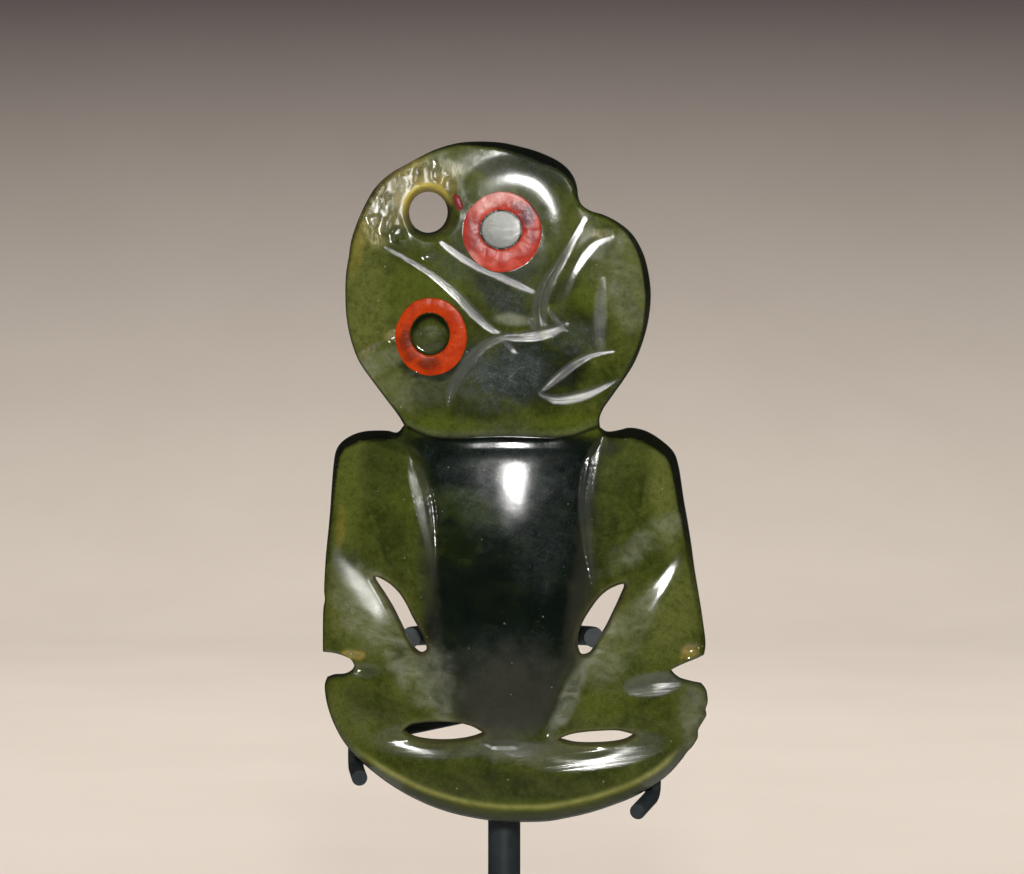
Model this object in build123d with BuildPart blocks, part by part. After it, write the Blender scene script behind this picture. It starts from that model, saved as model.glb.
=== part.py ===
from build123d import *
import math
import os

# Overall sizes of the carved figure, in millimetres
figure_width = 62.2
body_height = 63.8
head_width = 49.2
head_height = 48.1
chin_drop = 1.9
head_offset = -2.8

# Thickness of the stone, measured from its flat back
body_thickness = 7.0
body_dome_drop = 2.0
head_thickness = 8.6
head_dome_drop = 1.6
torso_depth = 9.0
flank_depth = 5.4
head_round = 2.0
body_round = 0.8
corner_round = 0.8
back_round = 0.6

# Suspension hole near the top of the head
hole_radius = 3.05
hole_front_flare = 1.7
hole_back_flare = 0.9
flare_angle = 90.0

# Wax eye rings and the grooves that hold them
eye_width = 12.2
eye_height = 13.0
pupil_width = 6.6
pupil_height = 6.9
eye_groove_depth = 2.0
wax_clearance = 0.06
wax_proud = 0.15
wax_round = 0.5
lower_pupil_sink = 0.9

# Carved lines and hollows: each table row takes its width and depth as shares of these
line_width = 3.0
line_depth = 1.05
hollow_width = 6.6
hollow_depth = 2.2

# Raised forearms
forearm_width = 9.0
forearm_rise = 1.4
forearm_root = 2.0

# Display stand
base_width = 72.0
base_depth = 48.0
base_thickness = 8.0
base_edge = 1.0
foot_gap = 30.0
stone_back_y = 2.0
post_radius = 2.65
post_cap = 1.4
post_setback = 6.2
post_socket = 6.0
post_clearance = 0.05
peg_radius = 1.6
peg_bend = 3.4
hook_radius = 1.25
hook_bend = 2.0
hook_rise = 4.6
hook_root_rise = 9.2
seat_gap = 0.2
left_tip_slide = 1.4
right_tip_slide = 3.4

# Places that follow from the sizes above
body_centre_x = 1.86
body_left = body_centre_x - figure_width / 2
body_bottom = base_thickness + foot_gap
body_top = body_bottom + body_height
head_left = body_centre_x + head_offset - head_width / 2
head_bottom = body_top - chin_drop
head_centre = (head_left + head_width / 2, head_bottom + head_height / 2)
body_centre = (body_centre_x, body_bottom + body_height / 2)
through = torso_depth + head_thickness
stone_back = Plane(origin=(0, stone_back_y, 0), x_dir=(1, 0, 0), z_dir=(0, -1, 0))
post_y = stone_back_y + post_setback

# Outlines, as shares (across, up) of the head's or the body's width and height
head_outline = [
    (0.447, 1.000), (0.660, 0.956), (0.739, 0.889), (0.759, 0.839), (0.768, 0.795),
    (0.795, 0.768), (0.874, 0.748), (0.946, 0.695), (0.989, 0.607), (1.000, 0.503),
    (0.992, 0.403), (0.959, 0.292), (0.893, 0.178), (0.840, 0.098), (0.790, 0.030),
    (0.650, 0.000), (0.506, 0.000), (0.340, 0.000), (0.225, 0.035), (0.131, 0.134),
    (0.046, 0.272), (0.007, 0.386), (0.000, 0.510), (0.026, 0.695), (0.089, 0.815),
    (0.233, 0.933),
]
right_shoulder = [(0.722, 0.997), (0.738, 0.990), (0.766, 0.995), (0.803, 1.000),
                  (0.852, 0.985), (0.888, 0.957), (0.919, 0.929)]
right_arm = [(0.919, 0.929), (0.930, 0.873), (0.948, 0.759), (0.958, 0.673),
             (0.979, 0.539), (0.992, 0.433)]
right_notch = [(0.992, 0.433), (0.904, 0.392)]
right_notch_floor = [(0.904, 0.392), (0.958, 0.359)]
# The lower edge passes through the two places where the stand's hooks carry the stone
left_seat = (0.096, 0.154)
right_seat = (0.849, 0.084)
lower_edge = [(0.958, 0.359), (0.987, 0.350), (1.000, 0.311), (0.993, 0.255),
              (0.966, 0.205), (0.943, 0.162), (0.906, 0.124), right_seat,
              (0.769, 0.048), (0.657, 0.013), (0.548, 0.000), (0.439, 0.005),
              (0.317, 0.033), (0.208, 0.084), left_seat, (0.047, 0.210),
              (0.018, 0.276), (0.000, 0.337), (0.008, 0.370), (0.031, 0.372)]
left_notch_floor = [(0.031, 0.372), (0.075, 0.392)]
left_notch_end = [(0.075, 0.392), (0.083, 0.408), (0.075, 0.423)]
left_notch = [(0.075, 0.423), (0.000, 0.435)]
left_arm = [(0.000, 0.435), (0.001, 0.559), (0.005, 0.646), (0.018, 0.767), (0.029, 0.929)]
left_shoulder = [(0.029, 0.929), (0.047, 0.957), (0.096, 0.985), (0.164, 0.992), (0.208, 0.987)]
neck = [(0.208, 0.987), (0.210, 1.046), (0.719, 1.046), (0.722, 0.997)]
body_runs = [right_shoulder, right_arm, right_notch, right_notch_floor, lower_edge,
             left_notch_floor, left_notch_end, left_notch, left_arm, left_shoulder]

# Slits between arm and torso: tip, two edges and a rounded lower end, as body shares
left_slit = {"tip": (0.135, 0.623), "inner": (0.231, 0.521), "inner_end": (0.268, 0.451),
             "end": (0.255, 0.435), "outer_end": (0.236, 0.446), "outer": (0.175, 0.562)}
right_slit = {"tip": (0.782, 0.606), "inner": (0.694, 0.542), "inner_end": (0.664, 0.451),
              "end": (0.678, 0.430), "outer_end": (0.697, 0.446), "outer": (0.745, 0.534)}

# Slots inside the bent legs: left end, right end, half height, as body shares
leg_slots = [((0.213, 0.234), (0.416, 0.230), 0.026), ((0.616, 0.222), (0.806, 0.222), 0.016)]

# Torso from the crotch up: centre across, up, width and depth shares
torso_sections = [
    (0.470, 0.215, 0.190, 0.74),
    (0.470, 0.360, 0.290, 0.86),
    (0.476, 0.480, 0.380, 0.93),
    (0.478, 0.700, 0.385, 0.98),
    (0.474, 0.880, 0.430, 1.00),
    (0.466, 1.010, 0.480, 0.78),
]

# Forearms from elbow to hand: across, up, width share and rise share
left_forearm = [(0.075, 0.560, 0.85, 0.15), (0.190, 0.430, 1.00, 1.00), (0.345, 0.262, 0.55, 0.90)]
right_forearm = [(0.915, 0.545, 0.85, 0.15), (0.765, 0.430, 1.00, 1.00), (0.590, 0.262, 0.55, 0.90)]

# Lines carved in the face: start, end, width share and depth share, as head shares
face_lines = [
    ((0.150, 0.640), (0.515, 0.340), 1.00, 1.00),
    ((0.290, 0.675), (0.615, 0.485), 0.90, 0.90),
    ((0.790, 0.720), (0.635, 0.500), 1.00, 0.90),
    ((0.655, 0.540), (0.622, 0.360), 1.00, 0.90),
    ((0.880, 0.690), (0.735, 0.560), 0.80, 0.75),
    ((0.755, 0.600), (0.690, 0.400), 0.80, 0.75),
    ((0.833, 0.545), (0.842, 0.300), 0.90, 1.00),
    ((0.880, 0.520), (0.955, 0.380), 1.10, 0.50),
    ((0.880, 0.300), (0.630, 0.150), 0.85, 1.00),
    ((0.625, 0.150), (0.885, 0.195), 1.10, 1.00),
    ((0.715, 0.375), (0.500, 0.335), 0.85, 0.90),
    ((0.525, 0.350), (0.335, 0.120), 0.85, 0.90),
]

# Hollows beside the torso and round the legs: start, end, width and depth share, as body shares
body_hollows = [
    ((0.195, 1.050), (0.298, 0.580), 0.80, 0.75),
    ((0.735, 1.050), (0.680, 0.580), 0.80, 0.75),
    ((0.112, 0.214), (0.462, 0.208), 1.00, 1.00),
    ((0.520, 0.190), (0.905, 0.205), 0.95, 1.00),
    ((0.765, 0.352), (1.030, 0.340), 0.70, 0.85),
    ((-0.060, 0.395), (0.165, 0.388), 0.55, 0.75),
]

# Centres of the eyes and of the suspension hole, as head shares
upper_eye = (0.512, 0.688)
lower_eye = (0.282, 0.344)
hole_centre = (0.271, 0.763)

# Where the stand's pegs bear on the stone's back, as body shares
peg_places = [(0.226, 0.466), (0.705, 0.466)]


def head_point(share):
    """A place on the head's outline box."""
    return (head_left + share[0] * head_width, head_bottom + share[1] * head_height)


def body_point(share):
    """A place on the body's outline box."""
    return (body_left + share[0] * figure_width, body_bottom + share[1] * body_height)


def dome_radius(width, height, drop):
    """Radius of a dome that falls by drop from its middle to its far sides."""
    reach = max(width, height) / 2
    return (reach**2 + drop**2) / (2 * drop)


def head_level(place):
    """Height of the domed face above the stone's flat back, at a place on it."""
    reach = math.dist(place, head_centre)
    return head_thickness - head_dome + math.sqrt(head_dome**2 - reach**2)


def body_level(place):
    """Height of the domed body above the stone's flat back, at a place on it."""
    reach = math.dist(place, body_centre)
    return body_thickness - body_dome + math.sqrt(body_dome**2 - reach**2)


def draw_run(points):
    """One stretch of outline: a straight line through two points, a smooth curve through more."""
    if len(points) == 2:
        Line(points[0], points[1])
    else:
        Spline(*points)


def gouge(start, end, width, depth, level):
    """A round-bottomed cut that runs out at both ends, as a grinding wheel leaves it."""
    length = math.dist(start, end)
    radius = (width**2 / 4 + depth**2) / (2 * depth)
    lift = radius - depth
    along = Vector(end[0] - start[0], 0, end[1] - start[1]).normalized()
    origin = (start[0], stone_back_y - level - lift, start[1])
    with BuildPart() as cut:
        with BuildSketch(Plane(origin=origin, x_dir=along, z_dir=along.cross(Vector(0, 1, 0)))):
            with BuildLine():
                Line((0, 0), (0, lift))
                ThreePointArc((0, lift), (length / 2, radius), (length, lift))
                Line((length, lift), (length, 0))
                Line((length, 0), (0, 0))
            make_face()
        revolve(axis=Axis(origin, along))
    return cut.part


def across_plane(place, along, level):
    """A plane square to a band that lies on the stone, with its local Y pointing forward."""
    return Plane(
        origin=(place[0], stone_back_y - level, place[1]),
        x_dir=(-along.Z, 0, along.X),
        z_dir=along,
    )


def draw_band(width, side, rise):
    """Cross-section of a rounded band: flat below, straight sides, one arc on top."""
    Line((-width / 2, 0), (width / 2, 0))
    Line((width / 2, 0), (width / 2, side))
    ThreePointArc((width / 2, side), (0, side + rise), (-width / 2, side))
    Line((-width / 2, side), (-width / 2, 0))


def seat_on(rows, seat):
    """An outline point, the outline's direction there towards the middle, and its outward one."""
    row = rows.index(seat)
    point = Vector(*body_point(seat))
    along = (Vector(*body_point(rows[row + 1])) - Vector(*body_point(rows[row - 1]))).normalized()
    if along.X * (body_centre_x - point.X) < 0:
        along = -along
    outward = Vector(along.Y, -along.X)
    if outward.Y > 0:
        outward = -outward
    return point, along, outward


head_dome = dome_radius(head_width, head_height, head_dome_drop)
body_dome = dome_radius(figure_width, body_height, body_dome_drop)
os.makedirs("parts", exist_ok=True)

# Head: a thick tilted plate with a gently domed face and rounded edges
with BuildPart() as head:
    with BuildSketch(stone_back):
        with BuildLine():
            Spline(*[head_point(share) for share in head_outline], periodic=True)
        make_face()
    extrude(amount=head_thickness)
    with Locations((head_centre[0], stone_back_y - head_thickness + head_dome, head_centre[1])):
        Sphere(head_dome, mode=Mode.INTERSECT)
    fillet(head.faces().filter_by(GeomType.SPHERE).edges(), radius=head_round)
    fillet(head.faces().sort_by(Axis.Y)[-1].edges(), radius=back_round)

# Body: a flatter domed plate with the shoulders, arms, elbows, knees and feet in its outline
with BuildPart() as body:
    with BuildSketch(stone_back) as body_face:
        with BuildLine():
            for run in body_runs:
                draw_run([body_point(share) for share in run])
            Polyline(*[body_point(share) for share in neck])
        make_face()
        fillet(body_face.vertices(), radius=corner_round)
    extrude(amount=body_thickness)
    with Locations((body_centre[0], stone_back_y - body_thickness + body_dome, body_centre[1])):
        Sphere(body_dome, mode=Mode.INTERSECT)
    fillet(body.faces().filter_by(GeomType.SPHERE).edges(), radius=body_round)
    fillet(body.faces().sort_by(Axis.Y)[-1].edges(), radius=back_round)

# Torso: a thick rounded column between the arms that narrows to the crotch
with BuildPart() as torso:
    for across, up, wide, deep in torso_sections:
        with BuildSketch(across_plane(body_point((across, up)), Vector(0, 0, 1), 0)):
            with BuildLine():
                draw_band(wide * figure_width, flank_depth, deep * torso_depth - flank_depth)
            make_face()
    loft()

# Forearms: rounded bands that rise from the elbows to the hands on the thighs
forearms = []
for rows in (left_forearm, right_forearm):
    elbow = body_point(rows[0][:2])
    hand = body_point(rows[-1][:2])
    along = Vector(hand[0] - elbow[0], 0, hand[1] - elbow[1]).normalized()
    with BuildPart() as forearm:
        for across, up, wide, rise in rows:
            place = body_point((across, up))
            with BuildSketch(across_plane(place, along, body_level(place) - forearm_root)):
                with BuildLine():
                    draw_band(wide * forearm_width, forearm_root, rise * forearm_rise)
                make_face()
        loft()
    forearms.append(forearm.part)

# Carved lines of the face and hollows of the body
cuts = []
for start, end, wide, deep in face_lines:
    places = (head_point(start), head_point(end))
    level = (head_level(places[0]) + head_level(places[1])) / 2
    cuts.append(gouge(*places, wide * line_width, deep * line_depth, level))
for start, end, wide, deep in body_hollows:
    places = (body_point(start), body_point(end))
    level = (body_level(places[0]) + body_level(places[1])) / 2
    cuts.append(gouge(*places, wide * hollow_width, deep * hollow_depth, level))

# The whole figure is one stone
with BuildPart() as stone_figure:
    add([head.part, body.part, torso.part] + forearms)
    add(cuts, mode=Mode.SUBTRACT)
    # Slits between the arms and the torso, right through
    with BuildSketch(stone_back) as slits:
        for slit in (left_slit, right_slit):
            at = {name: body_point(share) for name, share in slit.items()}
            with BuildLine():
                Spline(at["tip"], at["inner"], at["inner_end"])
                ThreePointArc(at["inner_end"], at["end"], at["outer_end"])
                Spline(at["outer_end"], at["outer"], at["tip"])
            make_face()
    extrude(amount=through, mode=Mode.SUBTRACT)
    # Slots inside the bent legs, pointed at both ends
    with BuildSketch(stone_back) as slots:
        for left, right, half in leg_slots:
            middle = ((left[0] + right[0]) / 2, (left[1] + right[1]) / 2)
            with BuildLine():
                for side in (half, -half):
                    crown = body_point((middle[0], middle[1] + side))
                    ThreePointArc(body_point(left), crown, body_point(right))
            make_face()
    extrude(amount=through, mode=Mode.SUBTRACT)
    # Ring-shaped grooves round the pupils, and the lower pupil sunk below the face
    for share in (upper_eye, lower_eye):
        place = head_point(share)
        with BuildSketch(stone_back.offset(head_level(place) - eye_groove_depth)):
            with Locations(place):
                Ellipse(eye_width / 2, eye_height / 2)
                Ellipse(pupil_width / 2, pupil_height / 2, mode=Mode.SUBTRACT)
        extrude(amount=eye_groove_depth + head_dome_drop, mode=Mode.SUBTRACT)
    with BuildSketch(stone_back.offset(head_level(head_point(lower_eye)) - lower_pupil_sink)):
        with Locations(head_point(lower_eye)):
            Ellipse(pupil_width / 2 + wax_clearance, pupil_height / 2 + wax_clearance)
    extrude(amount=lower_pupil_sink + head_dome_drop, mode=Mode.SUBTRACT)
    # Suspension hole, flared by wear at the front and the back
    hole = head_point(hole_centre)
    front_place = Plane(
        origin=(hole[0], stone_back_y - head_level(hole), hole[1]), x_dir=(1, 0, 0), z_dir=(0, -1, 0)
    )
    back_place = Plane(origin=(hole[0], stone_back_y, hole[1]), x_dir=(-1, 0, 0), z_dir=(0, 1, 0))
    with Locations(front_place):
        CounterSinkHole(hole_radius, hole_radius + hole_front_flare, counter_sink_angle=flare_angle)
    with Locations(back_place):
        CounterSinkHole(hole_radius, hole_radius + hole_back_flare, counter_sink_angle=flare_angle)

# Wax rings: each fills its groove with a small gap and stands a little proud, edges softened
eye_rings = {}
for name, share in (("eye_ring_upper", upper_eye), ("eye_ring_lower", lower_eye)):
    place = head_point(share)
    floor = stone_back.offset(head_level(place) - eye_groove_depth + wax_clearance)
    with BuildPart() as ring:
        with BuildSketch(floor):
            with Locations(place):
                Ellipse(eye_width / 2 - wax_clearance, eye_height / 2 - wax_clearance)
                Ellipse(
                    pupil_width / 2 + wax_clearance, pupil_height / 2 + wax_clearance, mode=Mode.SUBTRACT
                )
        extrude(amount=eye_groove_depth - wax_clearance + wax_proud)
        fillet(ring.faces().sort_by(Axis.Y)[0].edges(), radius=wax_round)
    eye_rings[name] = ring.part

# Armature: post, cross bar with two back pegs and two lower hooks, soldered into one piece
peg_at = [body_point(share) for share in peg_places]
peg_height = (peg_at[0][1] + peg_at[1][1]) / 2
peg_tip_y = stone_back_y + seat_gap
hook_y = stone_back_y + seat_gap + hook_radius
hook_tip_y = stone_back_y - body_thickness
with BuildPart() as stand_armature:
    with BuildSketch(Plane.XY.offset(base_thickness - post_socket)):
        with Locations((0, post_y)):
            Circle(post_radius)
    extrude(amount=peg_height + peg_radius + post_cap - base_thickness + post_socket)
    chamfer(stand_armature.faces().sort_by(Axis.Z)[-1].edges(), length=post_cap / 2)
    with BuildLine() as bar:
        FilletPolyline(
            (peg_at[0][0], peg_tip_y, peg_height),
            (peg_at[0][0], post_y, peg_height),
            (peg_at[1][0], post_y, peg_height),
            (peg_at[1][0], peg_tip_y, peg_height),
            radius=peg_bend,
        )
    with BuildSketch(Plane(origin=bar.line @ 0, z_dir=bar.line % 0)):
        Circle(peg_radius)
    sweep(path=bar.line)
    for seat, slide in ((left_seat, left_tip_slide), (right_seat, right_tip_slide)):
        point, along, outward = seat_on(lower_edge, seat)
        below = point + outward * (hook_radius + seat_gap)
        tip = below + along * slide
        with BuildLine() as hook:
            FilletPolyline(
                (0, post_y, below.Y + hook_root_rise),
                (below.X, hook_y, below.Y + hook_rise),
                (below.X, hook_y, below.Y),
                (tip.X, hook_tip_y, tip.Y),
                radius=hook_bend,
            )
        with BuildSketch(Plane(origin=hook.line @ 0, z_dir=hook.line % 0)):
            Circle(hook_radius)
        sweep(path=hook.line)

# Base: a plain plate with softened edges and a blind socket for the post
with BuildPart() as stand_base:
    Box(base_width, base_depth, base_thickness, align=(Align.CENTER, Align.CENTER, Align.MIN))
    chamfer(stand_base.edges().filter_by(Axis.Z), length=base_edge)
    chamfer(stand_base.faces().sort_by(Axis.Z)[-1].edges(), length=base_edge)
    with BuildSketch(Plane.XY.offset(base_thickness - post_socket - post_clearance)):
        with Locations((0, post_y)):
            Circle(post_radius + post_clearance)
    extrude(amount=post_socket + post_clearance, mode=Mode.SUBTRACT)

pieces = {
    "stone_figure": stone_figure.part,
    "eye_ring_upper": eye_rings["eye_ring_upper"],
    "eye_ring_lower": eye_rings["eye_ring_lower"],
    "stand_armature": stand_armature.part,
    "stand_base": stand_base.part,
}
for name, piece in pieces.items():
    piece.label = name
    export_step(piece, f"parts/{name}.step")
    print(name, round(piece.volume, 2), piece.is_valid, len(piece.solids()))
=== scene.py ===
import math

import bpy
import numpy as np
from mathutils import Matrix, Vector, geometry, kdtree


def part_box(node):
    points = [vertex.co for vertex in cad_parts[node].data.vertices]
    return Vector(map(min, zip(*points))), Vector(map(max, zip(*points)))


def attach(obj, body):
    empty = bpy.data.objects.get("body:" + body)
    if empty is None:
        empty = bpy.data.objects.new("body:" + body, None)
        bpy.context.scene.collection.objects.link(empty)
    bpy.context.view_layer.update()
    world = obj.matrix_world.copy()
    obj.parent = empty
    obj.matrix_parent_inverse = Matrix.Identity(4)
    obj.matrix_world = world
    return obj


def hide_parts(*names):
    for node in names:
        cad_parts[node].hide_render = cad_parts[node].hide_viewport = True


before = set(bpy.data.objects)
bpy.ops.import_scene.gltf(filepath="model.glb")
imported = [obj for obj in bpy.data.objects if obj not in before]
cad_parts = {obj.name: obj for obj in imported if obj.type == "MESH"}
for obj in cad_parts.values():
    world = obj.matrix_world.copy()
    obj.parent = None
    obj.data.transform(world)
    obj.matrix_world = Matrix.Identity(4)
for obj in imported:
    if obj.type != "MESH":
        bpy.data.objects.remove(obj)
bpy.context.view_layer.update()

# The stone's extent in the photograph, in pixels, ties every traced shape below to the frame
PHOTO_LEFT = 323
PHOTO_TOP = 142
PHOTO_BOTTOM = 823
PHOTO_CENTRE_X = 512
PHOTO_CENTRE_Y = 437
PHOTO_WIDTH = 1024
stone_low, stone_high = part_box("stone_figure")
PIXEL = (stone_high.z - stone_low.z) / (PHOTO_BOTTOM - PHOTO_TOP)
MM = 0.001


def to_x(px):
    return stone_low.x + (px - PHOTO_LEFT) * PIXEL


def to_z(py):
    return stone_low.z + (PHOTO_BOTTOM - py) * PIXEL


# Outlines traced from the photograph, in pixels, clockwise: smooth runs that meet at corners
HEAD_RUN = [
    (404, 425), (398.8, 416), (385.6, 398.4), (372.4, 380.8), (359.5, 362), (351.5, 341), (346.8, 317),
    (345.8, 297), (346.4, 275), (349.2, 257), (351.5, 242), (357, 224.6), (365.8, 204.8), (375.7, 188.3),
    (390, 175), (412, 162.6), (434, 151.2), (458, 144), (479, 142.3), (502, 143.3), (520, 147),
    (537.4, 151.8), (555, 159.5), (566, 167.2), (573.5, 177), (577, 187.5), (578.3, 198), (582, 206),
    (590.2, 211.6), (603.4, 215.6), (618.8, 223.4), (632, 234.5), (642, 251), (647.6, 268.6),
    (650.8, 292.8), (648.6, 319), (643, 341.2), (634.2, 363), (623.2, 380.6), (612.2, 396), (602.6, 410),
    (599.4, 419), (600, 427),
]
RIGHT_ARM_RUN = [
    (600, 427), (607, 431.2), (618, 430.2), (629.7, 427.6), (645.7, 430.6), (661.7, 440), (674.6, 452.6),
    (679.6, 468), (681.8, 482), (684.6, 501), (688.2, 521.5), (691.5, 543), (695, 569.5), (699, 594),
    (703, 620), (705.6, 644), (704.2, 654.6),
]
RIGHT_NOTCH_RUN = [(704.2, 654.6), (696, 658.4), (687.6, 661.6), (679, 665.2), (671, 669.2)]
RIGHT_KNEE_RUN = [(671, 669.2), (674, 673), (680, 677.4), (692, 681), (701.4, 683)]
BOTTOM_RUN = [
    (701.4, 683), (706, 689), (707.6, 695.5), (708, 702), (706, 709.5), (706.8, 715), (703, 722.5),
    (698.6, 730), (698, 738), (693, 746.6), (687.5, 752.5), (682, 760.2), (668.7, 775), (652.5, 787.2),
    (633.6, 797.8), (612, 806.4), (587.7, 814.2), (566, 819), (549, 822), (525.6, 823), (498.6, 822.2),
    (471.6, 818.4), (444.6, 811.8), (417.6, 801), (393.3, 787.4), (371.7, 771.4), (355.5, 756.4),
    (343.3, 741.4), (335.2, 726.8), (329.2, 711.8), (325.6, 697), (324.8, 684), (327.2, 676.8),
]
LEFT_KNEE_RUN = [(327.2, 676.8), (334, 674.4), (345.5, 673.2), (352.6, 669), (354.4, 664.6)]
LEFT_NOTCH_RUN = [(354.4, 664.6), (351.4, 659.4), (345, 656), (335, 653), (322.9, 651.6)]
LEFT_ARM_RUN = [
    (322.9, 651.6), (322.9, 633), (323.4, 608), (324.8, 600), (324.2, 590), (325, 569), (326, 553),
    (328, 532), (329.8, 511), (331.2, 489), (333, 465.5), (335.4, 451), (340.3, 442.8), (349.7, 436),
    (363, 431.4), (387, 430.6), (397, 432.2), (404, 425),
]
OUTER_RUNS = [
    HEAD_RUN, RIGHT_ARM_RUN, RIGHT_NOTCH_RUN, RIGHT_KNEE_RUN, BOTTOM_RUN, LEFT_KNEE_RUN, LEFT_NOTCH_RUN,
    LEFT_ARM_RUN,
]
LEFT_SLIT_RUNS = [
    [(375.6, 576.8), (387, 581.8), (397.7, 591), (405.7, 602.7), (412.3, 616), (420.3, 630.7), (425.7, 643.6),
     (426.4, 649), (421.7, 651.8), (415, 647), (407, 633.4), (400.3, 620), (393.7, 606.8), (385.7, 593.6),
     (375.6, 576.8)],
]
RIGHT_SLIT_RUNS = [
    [(623.6, 584.2), (611, 588), (600.3, 596), (591, 608), (583, 621.3), (578.8, 633.4), (578.4, 647),
     (581.7, 653.6), (589.7, 651.6), (595.4, 641.4), (604.3, 628), (612.3, 612), (619, 597.4),
     (623.6, 584.2)],
]
LEFT_SLOT_RUNS = [
    [(405, 729.6), (411, 724.6), (423, 721.8), (442, 721), (459, 722.4), (473, 726), (483, 731.8)],
    [(483, 731.8), (475, 735), (460, 738.2), (442, 739.4), (422, 737.8), (411, 734.4), (405, 729.6)],
]
RIGHT_SLOT_RUNS = [
    [(559.6, 737.8), (570, 733.8), (583, 731.6), (601, 730.2), (618, 730.2), (633.4, 734)],
    [(633.4, 734), (627, 737.8), (617.4, 740.4), (598.5, 742.2), (575, 741.6), (559.6, 737.8)],
]
BORE_CENTRE = (428.4, 212.4)
BORE_RADII = (19.2, 20.6)

# Rim of the outer outline: place, bevel width in pixels, bevel drop in mm, edge radius in pixels, darkness
# painted on the bevel as its dark reflection
OUTER_RIM = [
    (346, 290, 4, 0.6, 3, 0.1), (357, 225, 6, 1.1, 3, 0.5), (375, 190, 7, 1.3, 3, 0.6),
    (412, 162, 6, 1.0, 3, 0.2), (440, 149, 5, 1.2, 4, 0.5), (458, 144, 6, 1.4, 4, 0.8),
    (484, 141, 9, 2.2, 3, 1.0), (511, 145, 11, 2.8, 3, 1.0), (547, 155, 14, 3.4, 3, 1.0),
    (572, 176, 9, 3.0, 3, 1.0), (578, 192, 5, 1.6, 3, 0.6), (590, 212, 4, 1.0, 4, 0.1),
    (603, 215, 5, 1.2, 4, 0.4), (634, 236, 8, 2.4, 3, 0.9), (650, 285, 9, 3.0, 3, 1.0),
    (645, 335, 6, 2.0, 4, 0.8), (633, 365, 5, 1.6, 4, 0.5), (612, 397, 5, 0.9, 3, 0.0),
    (600, 422, 3, 0.6, 3, 0.3), (607, 431, 6, 1.6, 3, 0.9), (622, 429, 11, 2.6, 3, 1.0),
    (646, 430, 14, 3.2, 3, 1.0), (668, 446, 13, 3.2, 3, 1.0), (682, 482, 10, 3.2, 3, 1.0),
    (689, 525, 9, 3.0, 3, 0.9), (694, 560, 8, 2.4, 3, 0.5), (699, 590, 8, 1.8, 3, 0.1),
    (705, 645, 7, 1.2, 3, 0.0), (688, 661, 3, 0.5, 3, 0.0), (671, 669, 3, 0.4, 3, 0.0),
    (692, 681, 4, 0.6, 3, 0.0), (708, 702, 9, 1.4, 4, 0.0), (693, 747, 12, 1.8, 4, 0.0),
    (652, 787, 16, 2.4, 4, 0.0), (588, 814, 18, 2.7, 4, 0.0), (525, 823, 19, 2.8, 4, 0.0),
    (444, 812, 18, 2.7, 4, 0.0), (394, 787, 15, 2.4, 4, 0.0), (355, 756, 9, 1.6, 3, 0.1),
    (335, 726, 6, 1.0, 3, 0.2), (325, 690, 5, 0.9, 3, 0.2), (340, 674, 3, 0.6, 3, 0.1),
    (354, 665, 3, 0.4, 3, 0.0), (338, 654, 3, 0.6, 3, 0.2), (323, 635, 4, 0.6, 3, 0.0),
    (325, 570, 4, 0.8, 3, 0.1), (330, 500, 5, 1.8, 3, 0.7), (335, 452, 8, 2.4, 3, 1.0),
    (350, 436, 11, 2.8, 3, 1.0), (387, 431, 11, 2.6, 3, 1.0), (403, 426, 3, 0.8, 3, 0.8),
    (362, 364, 4, 0.6, 3, 0.0), (390, 404, 4, 0.6, 3, 0.0),
]
# Rims of the openings, with the same columns after the place
SLIT_RIM = (5, 0.5, 4, 0)
SLOT_RIM = (3, 0.3, 4, 0)
BORE_RIM = (2, 0.2, 4, 0)
# Funnel worn into the front of the bore: its width and how much more on its worn side, in pixels,
# where that side is, in degrees, and its depth in mm
FUNNEL_WIDTH = 8
FUNNEL_WEAR = 5
FUNNEL_TURN = 40
FUNNEL_DEPTH = 1.9
FUNNEL_POWER = 1.6

# The key light stands this far right of and above the camera, and a flat front mirrors it halfway there
KEY_RIGHT = 0.012
KEY_UP = 0.105
MIRROR_SPOT = (PHOTO_CENTRE_X + KEY_RIGHT / 2 / PIXEL, PHOTO_CENTRE_Y - KEY_UP / 2 / PIXEL)

# Levels above the stone's back, in mm, with the places they belong to, in pixels
HEAD_LEVEL = 8.45
HEAD_FALL = 1.76
HEAD_MIDDLE = (517, 246)
HEAD_SPREAD = (121, 121)
CHEEK_BULGE = ((620, 300), (36, 46), 10, 0.15)
BODY_LEVEL = 6.7
BODY_FALL = 1.5
BODY_MIDDLE = (515, 620)
BODY_SPREAD = (193, 205)
CHIN_LINE = [(404, 425), (425, 434.5), (500, 437.5), (575, 434.5), (600, 425)]
CHIN_DROP = 0.4
CHIN_ROLL = 12
CHIN_BLEND = 2.5
CHIN_MIDDLE = 502
CHIN_HALF = 97
# Torso by height in the photograph: row, left side, right side, level of the crown
TORSO = [
    (430, 403, 602, 6.45), (437, 403, 602, 6.5), (438.5, 404, 601, 6.75), (439.8, 404, 600, 6.865),
    (441, 405, 600, 6.89), (443, 405, 599, 6.928), (446, 407, 598, 6.985), (448.5, 409, 597, 7.033),
    (450, 411, 596, 7.1), (453, 415, 594, 7.265), (456, 418, 592, 7.4), (459, 420, 591, 7.505),
    (462, 422, 591, 7.595), (466, 423, 590, 7.7), (471, 425, 589, 7.82), (480, 427, 587, 8.015),
    (490, 430, 585, 8.213), (500, 433, 584, 8.385), (510, 435, 583, 8.53), (525, 436, 583, 8.69),
    (560, 437, 585, 8.87), (600, 434, 584, 8.9), (640, 427, 578, 8.7), (665, 437, 569, 8.4),
    (690, 450, 557, 8.0), (710, 457, 549, 7.6), (725, 464, 543, 7.0), (737, 476, 532, 6.3),
    (746, 495, 515, 5.8),
]
TORSO_POWER = 2.0
TORSO_ROOT = 0.35
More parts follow.
